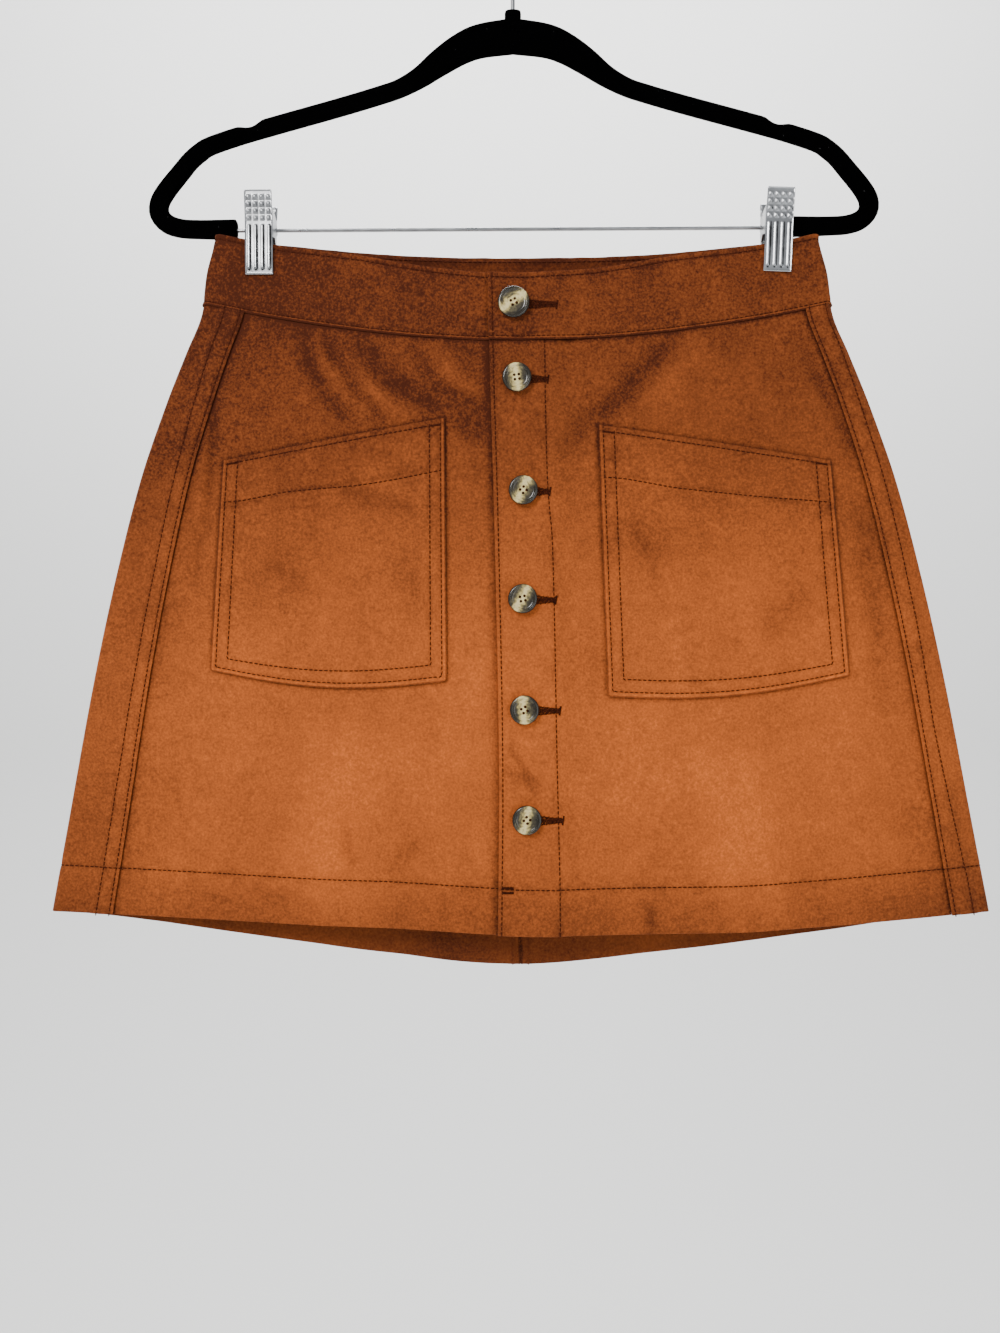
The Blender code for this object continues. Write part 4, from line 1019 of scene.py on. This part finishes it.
def buttonhole_rows():
    """Twisted loops that draw together towards the far end, and the bar that closes it."""
    loops, bars, slits = [], [], []
    for row, end in zip(BUTTONS, HOLE_ENDS):
        drop, start, past = row[0] + HOLE_BELOW, button_x(row) + HOLE_BESIDE, end + BAR_PAST
        x = np.linspace(start, end, 24)
        half = mix(HOLE_HALF_NEAR, HOLE_HALF_FAR, ease(start + HOLE_ROUND, end, x))
        for k, share in enumerate(HOLE_LINES):
            wave = HOLE_WAVE * np.sin(HOLE_WAVES * x + 2 * k)
            loops.append(on_placket(x, drop + share * half + wave, 2 * THREAD_UP))
        slits.append(on_placket(x, np.full_like(x, drop), 0.0))
        upright = bar(past, drop + HOLE_BAR / 2, past + HOLE_SLANT, drop - HOLE_BAR / 2)
        bars.append(on_placket(*upright))
    return loops, bars, slits


loop_rows, bar_rows, slit_rows = buttonhole_rows()
work_thread("buttonhole_loops", loop_rows, *LOOP_STITCH, HOLE_LEAN)
work_thread("buttonhole_bars", bar_rows, *BAR_STITCH, 1.0)
work_thread("buttonhole_slits", slit_rows, *SLIT_STITCH)

# ---------------------------------------------------------------- buttons
# Six turned buttons of horn-coloured resin, each with a raised rim round a dished face, a cream
# streak between grey-brown swirls, and thread through its four holes.

BUTTON_THICK = 0.0036
BUTTON_HOLE, BUTTON_HOLE_OUT = 0.00085, 0.0019
BUTTON_SIDES, BUTTON_HOLE_SIDES = 56, 16
STREAK_APART, LOOP_OUT = 3.7, 0.6
DOUBLES = 0.000001
BUTTON_STITCH = (0.0011, 0.0019, 0.00062)
BUTTON_HOLES = [(BUTTON_HOLE_OUT * math.cos(a), BUTTON_HOLE_OUT * math.sin(a), 0.0)
                for a in (math.pi / 4 + k * math.pi / 2 for k in range(4))]
# share of the radius, and height over the back as a share of the thickness
BUTTON_PROFILE = [(0.0, 0.72), (0.35, 0.72), (0.62, 0.73), (0.71, 0.76), (0.755, 0.84), (0.785, 0.96),
                  (0.82, 1.0), (0.88, 0.99), (0.94, 0.93), (0.98, 0.82), (1.0, 0.66), (0.985, 0.50),
                  (0.90, 0.30), (0.75, 0.10), (0.60, 0.0), (0.0, 0.0)]
# distance from the streak's middle, and the resin's colour there
HORN = ((0.34, (0.80, 0.66, 0.31)), (0.98, (0.018, 0.014, 0.008)), (0.50, (0.47, 0.36, 0.13)),
        (0.60, (0.17, 0.14, 0.065)), (0.76, (0.062, 0.050, 0.028)))


def joined(*meshes):
    """Meshes made one, smooth, its doubles merged and its faces turned outwards."""
    bm = bmesh.new()
    for mesh in meshes:
        bm.from_mesh(mesh)
    bmesh.ops.remove_doubles(bm, verts=bm.verts, dist=DOUBLES)
    bmesh.ops.recalc_face_normals(bm, faces=bm.faces)
    bm.to_mesh(meshes[0])
    bm.free()
    meshes[0].shade_smooth()
    return meshes[0]


def ring_mesh(name, rings):
    """Closed rings of points joined one after another, its ends closed."""
    count, around = rings.shape[:2]
    index = np.arange(count * around).reshape(count, around)
    over = np.roll(index, -1, axis=1)
    faces = np.stack([index[:-1], over[:-1], over[1:], index[1:]], axis=-1).reshape(-1, 4).tolist()
    mesh = bpy.data.meshes.new(name)
    mesh.from_pydata(rings.reshape(-1, 3).tolist(), [], faces + [index[0].tolist(), index[-1].tolist()])
    return joined(mesh)


def turned_mesh(name, radii, heights, sides):
    """A profile turned round the Z axis."""
    angle = np.linspace(0, 2 * np.pi, sides, endpoint=False)
    rings = np.stack([np.outer(radii, np.cos(angle)), np.outer(radii, np.sin(angle)),
                      np.repeat(np.array(heights)[:, None], sides, axis=1)], axis=-1)
    return ring_mesh(name, rings)


def add_piece(name, mesh, finish, slot, *replaced):
    """A rigid piece of the object, with its material and body, the solids it stands for hidden; slot is not
    used.
    """
    made = linked(name, mesh)
    mesh.materials.clear()
    mesh.materials.append(finish)
    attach(made, "root")
    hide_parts(*replaced)


def horn():
    """A cream streak between grey-brown swirls, read from each button's own place and turn."""
    made, tree, shader = finish_of("horn_resin", Roughness=0.26, Coat_Weight=0.40, Coat_Roughness=0.08,
                                   Specular_IOR_Level=0.35)
    place = nodes(tree, "ShaderNodeAttribute", {"attribute_name": "streak"}).outputs["Vector"]
    parts = nodes(tree, "ShaderNodeSeparateXYZ", Vector=place).outputs
    swirl = speckle(tree, place, 1.5, 4.0, 0.62, 1.4)
    away = arithmetic(tree, "ADD", parts["Y"], -0.52)
    away = arithmetic(tree, "ABSOLUTE", arithmetic(tree, "MULTIPLY_ADD", swirl, 0.9, away))
    tone = arithmetic(tree, "MULTIPLY_ADD", speckle(tree, place, 3.4, 3.0, 0.6, 0.8), 0.5, away)
    rim = nodes(tree, "ShaderNodeMapRange", Value=parts["Z"], _1=0.93, _2=0.99, _3=0.0, _4=0.40).outputs[0]
    tone = arithmetic(tree, "ADD", tone, rim)
    tree.links.new(ramp(tree, tone, *HORN), shader.inputs["Base Color"])
    return made


def button(number, row, finish):
    drop, _, width, turn, streak = row
    radii, heights = np.array(BUTTON_PROFILE).T * [[width / 2], [BUTTON_THICK]]
    body = linked("turned", turned_mesh("turned", radii, heights, BUTTON_SIDES))
    drill = bmesh.new()
    for hole in BUTTON_HOLES:
        bmesh.ops.create_cone(drill, cap_ends=True, segments=BUTTON_HOLE_SIDES, radius1=BUTTON_HOLE,
                              radius2=BUTTON_HOLE, depth=BUTTON_THICK * 3, matrix=Matrix.Translation(hole))
    drills = linked("drill", bpy.data.meshes.new("drill"))
    drill.to_mesh(drills.data)
    drill.free()
    cut = body.modifiers.new("holes", "BOOLEAN")
    cut.operation, cut.solver, cut.object = "DIFFERENCE", "EXACT", drills
    mesh = baked(body, f"button_{number}_horn")
    bpy.data.objects.remove(drills, do_unlink=True)
    mesh.set_sharp_from_angle(angle=math.radians(40))
    places = np.array([v.co[:] for v in mesh.vertices])
    across = math.radians(streak - turn)
    along = places[:, 0] * math.cos(across) + places[:, 1] * math.sin(across)
    aside = places[:, 1] * math.cos(across) - places[:, 0] * math.sin(across)
    out = np.hypot(places[:, 0], places[:, 1])
    lie = np.column_stack([along, aside, out]) / (width / 2) + [STREAK_APART * number, 0.0, 0.0]
    mesh.attributes.new("streak", "FLOAT_VECTOR", "POINT").data.foreach_set("vector", lie.ravel())
    x = button_x(row)
    under = BAND_PROUD + float(band_lap_lift(x, drop)) if number == 1 else float(lap_lift(x, drop))
    seat = Vector(front_at(x, drop, under + 2 * GAP))
    pose = Matrix.Translation(seat) @ Matrix.Rotation(math.pi / 2, 4, "X")
    pose = pose @ Matrix.Rotation(math.radians(turn), 4, "Z")
    mesh.transform(pose)
    holes = [pose @ Vector(hole) for hole in BUTTON_HOLES]
    add_piece(f"button_{number}_horn", mesh, finish, "horn_button", f"button_{number}")
    return [[hole, hole + Vector((0.0, -LOOP_OUT * BUTTON_THICK, 0.0))] for hole in holes]


horn_finish = horn()
sewn = [row for number, row_of in enumerate(BUTTONS, 1) for row in button(number, row_of, horn_finish)]
work_thread("button_threads", [np.array(row) for row in sewn], *BUTTON_STITCH)

# ---------------------------------------------------------------- hanger
# A slim moulded body covered in black velvet flock, with a dip in each arm for straps. Its two
# stubs hold the ends of the bar, and the nub at its neck holds the hook.

BODY = [  # x and z of the middle line, and the width
    (0.1700, -0.2178, 0.0120), (0.1908, -0.2176, 0.0110), (0.2030, -0.2168, 0.0110),
    (0.2112, -0.2139, 0.0114), (0.2158, -0.2085, 0.0118), (0.2160, -0.2018, 0.0116),
    (0.2118, -0.1940, 0.0113), (0.2029, -0.1829, 0.0110), (0.1968, -0.1756, 0.0108),
    (0.1907, -0.1704, 0.0108), (0.1846, -0.1667, 0.0105), (0.1663, -0.1605, 0.0104),
    (0.1420, -0.1536, 0.0104), (0.1054, -0.1435, 0.0104), (0.0810, -0.1363, 0.0104),
    (0.0688, -0.1321, 0.0106), (0.0566, -0.1254, 0.0124), (0.0444, -0.1164, 0.0158),
    (0.0322, -0.1086, 0.0182), (0.0200, -0.1037, 0.0201), (0.0000, -0.1008, 0.0213),
]
BODY_THICK, BODY_STEP = 0.0060, 0.0022
BODY_SIDES, BODY_SQUARE = 28, 3.6
NOTCH_X, NOTCH_HALF, NOTCH_DEPTH, ARM_FOOT = 0.1590, 0.0085, 0.0026, -0.200
NUB_HALF, NUB_TOP = 0.0050, -0.0855
# height, and share of the nub's width there
NUB_SECTIONS = ((-0.0990, 1.15), (-0.0930, 1.0), (-0.0875, 1.0), (-0.0862, 0.94), (NUB_TOP, 0.72),
                (NUB_TOP, 0.34))
# how far past the end, as a share of END_ROUND, and share of the section there
END_SECTIONS = ((1.0, 0.72), (0.75, 0.88), (0.3, 0.98))
FLOCK_BLACK, FLOCK_DUST, FLOCK_LINT = (0.0004, 0.0004, 0.0005), (0.0010, 0.0010, 0.0011), (0.22, 0.22, 0.22)
END_ROUND = 0.0014


def smooth_route(points, spacing):
    """Points at about equal spacing on a smooth curve through the given ones."""
    points = np.array(points, float)
    ends = np.vstack([2 * points[0] - points[1], points, 2 * points[-1] - points[-2]])
    route = []
    for p0, p1, p2, p3 in zip(ends, ends[1:], ends[2:], ends[3:]):
        for t in np.linspace(0, 1, max(1, round(np.linalg.norm(p2 - p1) / spacing)), endpoint=False):
            route.append(0.5 * (2 * p1 + (p2 - p0) * t + (2 * p0 - 5 * p1 + 4 * p2 - p3) * t**2
                                + (3 * p1 - p0 - 3 * p2 + p3) * t**3))
    return np.array(route + [points[-1]])


def squared_ring(half_wide, half_thick):
    """Places round a section with well rounded corners: across, and front to back."""
    angle = np.linspace(0, 2 * np.pi, BODY_SIDES, endpoint=False)
    c, s = np.cos(angle), np.sin(angle)
    power = 2 / BODY_SQUARE
    return np.sign(c) * np.abs(c) ** power * half_wide, np.sign(s) * np.abs(s) ** power * half_thick


def body_mesh():
    half = smooth_route(BODY, BODY_STEP)
    line = np.vstack([half, (half * [-1, 1, 1])[-2::-1]])
    run = np.gradient(line[:, :2], axis=0)
    run /= np.linalg.norm(run, axis=1)[:, None]
    rings = []
    sections = [(0, -END_ROUND * past, share) for past, share in END_SECTIONS]
    sections += [(k, 0.0, 1.0) for k in range(len(line))]
    sections += [(-1, END_ROUND * past, share) for past, share in reversed(END_SECTIONS)]
    for k, past, share in sections:
        (x, z, width), (dx, dz) = line[k], run[k]
        across, through_ = squared_ring(width / 2, BODY_THICK / 2)
        notch = min(abs(abs(x) - NOTCH_X) / NOTCH_HALF, 1.0) if z > ARM_FOOT else 1.0
        sunk = NOTCH_DEPTH * (1 - notch * notch) ** 2
        across = np.where(across > 0, across * (1 - sunk / (width / 2)), across) * share
        rings.append(np.column_stack([x + dx * past + dz * across, through_ * share,
                                      z + dz * past - dx * across]))
    return ring_mesh("hanger_flock", np.array(rings))


def nub_mesh():
    rings = []
    for z, share in NUB_SECTIONS:
        across, through_ = squared_ring(NUB_HALF * share, BODY_THICK / 2 * min(share, 1.0))
        rings.append(np.column_stack([across, through_, np.full(BODY_SIDES, z)]))
    return ring_mesh("nub", np.array(rings))


def flock():
    """Matt black fibres with a few pale specks of lint."""
    made, tree, shader = finish_of("black_velvet_flock", Roughness=1.0, Specular_IOR_Level=0.0,
                                   Sheen_Weight=0.012, Sheen_Roughness=0.4)
    where = nodes(tree, "ShaderNodeTexCoord").outputs["Object"]
    lint = speckle(tree, where, 520.0, 3.0, 0.7)
    colour = ramp(tree, lint, (0.0, FLOCK_BLACK), (0.82, FLOCK_LINT), (0.735, FLOCK_DUST))
    tree.links.new(colour, shader.inputs["Base Color"])
    bump(tree, shader, speckle(tree, where, 1500.0, 2.0), 0.6, 0.0004)
    return made


add_piece("hanger_flock", joined(body_mesh(), nub_mesh()), flock(), "black_flock", "hanger_body")

# ---------------------------------------------------------------- bar and hook
# A straight plated bar pressed into both stubs, and a plated wire bent from the nub up its
# stem and round over the rail to an open tip.

BAR_Z, BAR_RADIUS, WIRE_RADIUS = -0.2184, 0.0012, 0.0013
SOCKET = 0.009
HOOK_INSIDE = 0.0190
HOOK_START, HOOK_END, HOOK_STEPS = -48, 196, 48
HOOK_TIP = (-0.0022, -0.0042)
HOOK_SPACING, ROD_SIDES, ROD_END = 0.0025, 20, (0.3, 0.6)
CHROME, SPRING_STEEL = (0.47, 0.48, 0.495), (0.36, 0.36, 0.38)
HOOK_STEM = [(0.0, 0.0), (0.0, 0.0140), (0.0002, 0.0250), (0.0024, 0.0360), (0.0066, 0.0455)]


def rod_mesh(name, points, radius, sides=ROD_SIDES):
    """A round rod along points, its ends slightly rounded."""
    points = np.array(points, float)
    run = np.gradient(points, axis=0)
    run /= np.linalg.norm(run, axis=1)[:, None]
    side = np.cross(run[0], (0.3, 0.5, 0.8))
    angle = np.linspace(0, 2 * np.pi, sides, endpoint=False)[:, None]
    rings, (end, narrow) = [], ROD_END
    whole = [(k, 0.0, 1.0) for k in range(len(points))]
    for k, past, share in [(0, -end, narrow)] + whole + [(-1, end, narrow)]:
        side = side - run[k] * np.dot(side, run[k])
        side /= np.linalg.norm(side)
        other = np.cross(run[k], side)
        rings.append(points[k] + run[k] * past * radius
                     + radius * share * (np.cos(angle) * side + np.sin(angle) * other))
    return ring_mesh(name, np.array(rings))


def plated(name, roughness, colour, scratch):
    """Bright plated metal, a little worn and clouded, with the painted highlights and painted shade stored on
    a clip's plates added to its colour.
    """
    made, tree, shader = finish_of(name, Metallic=1.0, Roughness=roughness)
    where = nodes(tree, "ShaderNodeTexCoord").outputs["Object"]
    cloud = speckle(tree, where, 130.0, 3.0, 0.6)
    # the painted highlights and painted shade stored on the clip plates
    hollow = nodes(tree, "ShaderNodeAttribute", {"attribute_name": "shade"}).outputs["Fac"]
    cloud = arithmetic(tree, "ADD", cloud, hollow)
    bright, dull, dark = (tuple(value * share for value in colour) for share in (1.35, 0.72, 0.05))
    tree.links.new(ramp(tree, cloud, (0.0, dark), (1.0, bright), (0.3, dull), (0.70, colour)),
                   shader.inputs["Base Color"])
    worn = nodes(tree, "ShaderNodeMapRange", Value=speckle(tree, where, 60.0), _1=0.3, _2=0.7,
                 _3=roughness * 0.75, _4=roughness * 1.5).outputs[0]
    tree.links.new(worn, shader.inputs["Roughness"])
    bump(tree, shader, speckle(tree, where, 900.0), scratch, 0.0001)
    return made


chrome = plated("bright_plate", 0.30, CHROME, 0.06)
spring_finish = plated("drawn_spring_wire", 0.34, SPRING_STEEL, 0.20)
bar_half = BODY[0][0] + SOCKET
bar_line = np.linspace((-bar_half, 0, BAR_Z), (bar_half, 0, BAR_Z), 24)
add_piece("bar_rod", rod_mesh("bar_rod", bar_line, BAR_RADIUS), chrome, "chrome", "hanger_bar")


def hook_route():
    foot = NUB_TOP - SOCKET
    radius = HOOK_INSIDE + WIRE_RADIUS
    angle = np.radians(np.linspace(HOOK_START, HOOK_END, HOOK_STEPS + 1))
    crown = np.column_stack([radius * np.cos(angle), radius * np.sin(angle) - HOOK_INSIDE])
    stem = smooth_route([(x, foot + z) for x, z in HOOK_STEM] + [tuple(crown[0])], HOOK_SPACING)[:-1]
    line = np.vstack([stem, crown, crown[-1] + HOOK_TIP])
    return np.column_stack([line[:, 0], np.zeros(len(line)), line[:, 1]])


add_piece("hook_wire", rod_mesh("hook_wire", hook_route(), WIRE_RADIUS), chrome, "chrome", "hanger_hook")

# ---------------------------------------------------------------- clips
# Each clip is two pressed steel jaws on the bar with a spring between them. The front jaw has a
# raised border, four rows of small pyramids for the thumb and four ribs down to its lip.

CLIPS = [("clip_left", -0.1529, 0.0), ("clip_right", 0.1586, 2.6)]
JAW_METAL = 0.0008
FRONT_HALF, BACK_HALF = 0.0083, 0.0071
# height over the bar, and depth of the plate
FRONT_JAW = ((0.0186, 0.0110, 0.0070, 0.0030, -0.0030, -0.0068, -0.0092, -0.0235, -0.0310),
             (-0.0148, -0.0139, -0.0133, -0.0129, -0.0127, -0.0126, -0.0126, -0.0127, -0.0121))
BACK_JAW = ((0.0182, 0.0110, 0.0060, 0.0030, -0.0030, -0.0068, -0.0092, -0.0200, -0.0300),
            (0.0088, 0.0072, 0.0060, 0.0056, 0.0050, 0.0040, 0.0026, -0.0012, -0.0021))
STUD_PITCH, STUD_HIGH, STUD_HALF = 0.0040, 0.0008, 0.0016
STUD_SIDE, STUD_TOP = 0.0024, 0.0042
RIB_FROM, RIB_TO, RIB_HIGH, RIB_HALF = 0.0196, 0.0470, 0.0005, 0.0010
BORDER, BORDER_HIGH, EDGE_DROP, JAW_CORNER = 0.0009, 0.00035, 0.0003, 0.0016
# painted highlight on raised metal, and painted shade beside a rib, below its tip and beside a stud
LIT, HOLLOW_DARK, TIP_DARK, STUD_DARK = 0.42, 0.70, 0.8, 0.45
SPRING_RADIUS, SPRING_HALF, SPRING_WIRE, SPRING_TURNS = 0.0026, 0.0058, 0.00042, 11


def from_line(place, first):
    """Signed distance, in pitches, from the nearest of four lines that start at the first."""
    steps = (place - first) / STUD_PITCH
    return steps - np.clip(np.round(steps), 0, 3)


def jaw_relief(u, down, half, high):
    """Studs, ribs and the border pressed out of a jaw, u across it and down from its top."""
    column, row = np.abs(from_line(u + half, STUD_SIDE)), np.abs(from_line(down, STUD_TOP))
    studs = STUD_HIGH * np.clip(1 - np.maximum(column, row) * STUD_PITCH / STUD_HALF, 0, 1)
    to_rib = column * STUD_PITCH / RIB_HALF
    ends = ease(RIB_FROM, RIB_FROM + 0.0012, down) * (1 - ease(RIB_TO - 0.0012, RIB_TO, down))
    ribs = RIB_HIGH * np.clip(1 - to_rib * to_rib, 0, 1) ** 0.6 * ends
    edge = np.minimum(np.minimum(half - np.abs(u), down), high - down)
    border = BORDER_HIGH * (1 - ease(0.3 * BORDER, BORDER, edge))
    return studs + ribs + border - EDGE_DROP * (1 - ease(0.0, 0.0003, edge))


def jaw_shade(u, down, half, high):
    """Painted shade in the hollows right of the ribs and studs, and painted highlights on their tops and on
    the border.
    """
    beside, below = from_line(u + half, STUD_SIDE) * STUD_PITCH, from_line(down, STUD_TOP) * STUD_PITCH
    ends = ease(RIB_FROM - 0.0004, RIB_FROM + 0.0010, down) * (1 - ease(RIB_TO - 0.0010, RIB_TO, down))
    hollow = ridge(beside - 0.0009, 1.0, 0.00045) * ends
    tip = np.exp(-(beside / 0.0007) ** 2 - ((down - RIB_TO) / 0.0006) ** 2)
    studs = (down > BORDER) * ((down - STUD_TOP) / STUD_PITCH < 3.5)
    stud = np.exp(-((beside - 0.0011) / 0.00045) ** 2 - ((below - 0.0003) / 0.0009) ** 2) * studs
    top = np.exp(-((beside + 0.0001) / 0.0006) ** 2 - ((below + 0.0003) / 0.0006) ** 2) * studs
    edge = np.minimum(np.minimum(half - np.abs(u), down), high - down)
    border = ridge(edge - 0.0004, 1.0, 0.0004)
    crest = ridge(beside + 0.0004, 1.0, 0.00035) * ends
    lit = LIT * np.maximum.reduce([top, border, crest])
    return np.clip(lit - HOLLOW_DARK * hollow - TIP_DARK * tip - STUD_DARK * stud, -1, 1)


def jaw_mesh(name, table, half, facing):
    """A plate on the jaw's side curve. facing is -1 in front and 1 behind."""
    heights, depths = (np.array(column) for column in table)
    high = heights[0] - heights[-1]
    u = steps_to([-half, -half + 0.0003, -half + BORDER, half - BORDER, half - 0.0003, half], 0.00040)
    down = steps_to([0.0, 0.0003, BORDER, high - BORDER, high - 0.0003, high], 0.00042)
    u, down = np.meshgrid(u, down)
    flat = half - JAW_CORNER
    out = np.clip((JAW_CORNER - down) / JAW_CORNER, 0, 1)
    drawn_in = flat + (np.abs(u) - half + JAW_CORNER) * np.sqrt(np.clip(1 - out * out / 2, 0, 1))
    u = np.where(np.abs(u) > flat, np.sign(u) * drawn_in, u)
    y = through(-(heights[0] - down), -heights, depths)
    y = y + facing * jaw_relief(u, down, half, high)
    points = np.stack([-facing * u, y, heights[0] - down], axis=-1)
    plate = linked(name, cloth_mesh(name, points, jaw_shade(u, down, half, high)))
    wall = plate.modifiers.new("wall", "SOLIDIFY")
    wall.thickness, wall.offset = JAW_METAL, -1
    return baked(plate, name)


EAR_ROUND = 0.0001
# y and height over the bar of an ear's outline, from the plate back round the bar
FRONT_EAR = [(-0.0128, 0.0086), (-0.0060, 0.0074), (-0.0010, 0.0046), (0.0016, 0.0024), (0.0026, 0.0),
             (0.0016, -0.0024), (-0.0014, -0.0040), (-0.0070, -0.0070), (-0.0124, -0.0088)]
BACK_EAR = [(0.0064, 0.0088), (0.0024, 0.0062), (-0.0010, 0.0038), (-0.0026, 0.0), (-0.0012, -0.0034),
            (0.0012, -0.0060), (0.0034, -0.0080), (0.0046, -0.0064)]


def ear_mesh(outline, x):
    """A flat tab with a round hole for the bar."""
    curve = bpy.data.curves.new("ear", "CURVE")
    curve.dimensions, curve.fill_mode = "2D", "BOTH"
    curve.extrude, curve.bevel_depth, curve.bevel_resolution = JAW_METAL / 2 - EAR_ROUND, EAR_ROUND, 1
    hole = [((BAR_RADIUS + GAP) * math.cos(a), (BAR_RADIUS + GAP) * math.sin(a))
            for a in np.linspace(0, 2 * np.pi, 20, endpoint=False)]
    for route in (outline, hole):
        spline = curve.splines.new("POLY")
        spline.points.add(len(route) - 1)
        for point, (y, z) in zip(spline.points, route):
            point.co = (y, z, 0.0, 1.0)
        spline.use_cyclic_u = True
    mesh = baked(linked("ear", curve), "ear")
    upright = Matrix(((0, 0, 1, 0), (1, 0, 0, 0), (0, 1, 0, 0), (0, 0, 0, 1)))
    mesh.transform(Matrix.Translation((x, 0, 0)) @ upright)
    return mesh


def spring_mesh(name):
    turn = np.linspace(0, 2 * np.pi * SPRING_TURNS, SPRING_TURNS * 16)
    x = np.linspace(-SPRING_HALF, SPRING_HALF, len(turn))
    coil = np.column_stack([x, SPRING_RADIUS * np.cos(turn), SPRING_RADIUS * np.sin(turn)])
    return rod_mesh(name, coil, SPRING_WIRE, 8)


def clip(name, x, tilt):
    pose = Matrix.Translation((x, 0.0, BAR_Z)) @ Matrix.Rotation(math.radians(tilt), 4, "Y")
    for which, table, half, facing, outline in (("front", FRONT_JAW, FRONT_HALF, -1, FRONT_EAR),
                                                ("back", BACK_JAW, BACK_HALF, 1, BACK_EAR)):
        ears = [ear_mesh(outline, side * (half - JAW_METAL / 2)) for side in (-1, 1)]
        plate = jaw_mesh(f"{name}_{which}_plate", table, half, facing)
        flats = len(plate.polygons)
        mesh = joined(plate, *ears)
        mesh.polygons.foreach_set("use_smooth", [k < flats for k in range(len(mesh.polygons))])
        mesh.set_sharp_from_angle(angle=math.radians(50))
        mesh.transform(pose)
        add_piece(f"{name}_{which}_plate", mesh, chrome, "chrome", f"{name}_{which}_jaw")
    mesh = spring_mesh(f"{name}_coil")
    mesh.transform(pose)
    add_piece(f"{name}_coil", mesh, spring_finish, "spring_steel", f"{name}_spring")


for clip_row in CLIPS:
    clip(*clip_row)

# ---------------------------------------------------------------- wall, floor, light and camera
# A pale wall that runs down into the floor well behind the hanger, soft light from the front
# and above, and the camera straight in front of the skirt.

CAMERA = (-0.01011, -0.65, -0.48495)
CAMERA_ROLL = 0.33
LENS, SENSOR = 28.79, 36.0
FLOOR_Z, FLOOR_FRONT, WALL_Y, WALL_TOP = -1.95, -6.0, 3.0, 3.5
SWEEP_RADIUS, SWEEP_STEPS, SWEEP_HALF = 1.2, 24, 7.0
WALL_COLOUR, ROOM_COLOUR, ROOM_GLOW = (0.82, 0.82, 0.81, 1.0), (0.95, 0.97, 1.0, 1.0), 0.50
LAMPS = {  # place, what it points at, size, watts and colour
    "key": ((-0.70, -1.15, 0.30), (0.0, 0.0, -0.48), (0.55, 0.55), 17, (1.0, 0.985, 0.96)),
    "fill": ((1.1, -1.5, -0.7), (0.0, 0.0, -0.50), (1.2, 1.2), 9, (0.97, 0.985, 1.0)),
    "wall_wash": ((0.0, 0.9, 2.6), (0.0, 3.0, -0.7), (4.0, 1.0), 300, (1.0, 1.0, 1.0)),
}


def sweep():
    """A floor and a wall with a wide curve between them."""
    line = [(FLOOR_FRONT, FLOOR_Z)]
    for k in range(SWEEP_STEPS + 1):
        angle = math.radians(90 * k / SWEEP_STEPS)
        line.append((WALL_Y - SWEEP_RADIUS + SWEEP_RADIUS * math.sin(angle),
                     FLOOR_Z + SWEEP_RADIUS - SWEEP_RADIUS * math.cos(angle)))
    line.append((WALL_Y, WALL_TOP))
    verts = [(x, y, z) for y, z in line for x in (-SWEEP_HALF, SWEEP_HALF)]
    faces = [(2 * k, 2 * k + 1, 2 * k + 3, 2 * k + 2) for k in range(len(line) - 1)]
    mesh = bpy.data.meshes.new("backdrop")
    mesh.from_pydata(verts, [], faces)
    mesh.shade_smooth()
    mesh.materials.append(finish_of("pale_wall", Roughness=0.9, Specular_IOR_Level=0.1,
                                    Base_Color=WALL_COLOUR)[0])
    linked("backdrop", mesh)


def lamp(name, place, target, size, power, colour):
    light = bpy.data.lights.new(name, "AREA")
    light.shape, light.size, light.size_y = "RECTANGLE", *size
    light.energy, light.color = power, colour
    obj = linked(name, light)
    obj.location = place
    obj.rotation_euler = (Vector(target) - Vector(place)).to_track_quat("-Z", "Y").to_euler()
    obj.visible_camera = False


def studio():
    sweep()
    for name, row in LAMPS.items():
        lamp(name, *row)
    world = bpy.data.worlds.new("room")
    bpy.context.scene.world = world
    world.use_nodes = True
    glow = world.node_tree.nodes["Background"].inputs
    glow["Color"].default_value, glow["Strength"].default_value = ROOM_COLOUR, ROOM_GLOW
    camera = bpy.data.cameras.new("camera")
    camera.lens, camera.sensor_width = LENS, SENSOR
    obj = linked("camera", camera)
    turn = Matrix.Rotation(math.pi / 2, 4, "X") @ Matrix.Rotation(math.radians(-CAMERA_ROLL), 4, "Z")
    obj.matrix_world = Matrix.Translation(CAMERA) @ turn
    bpy.context.scene.camera = obj


studio()
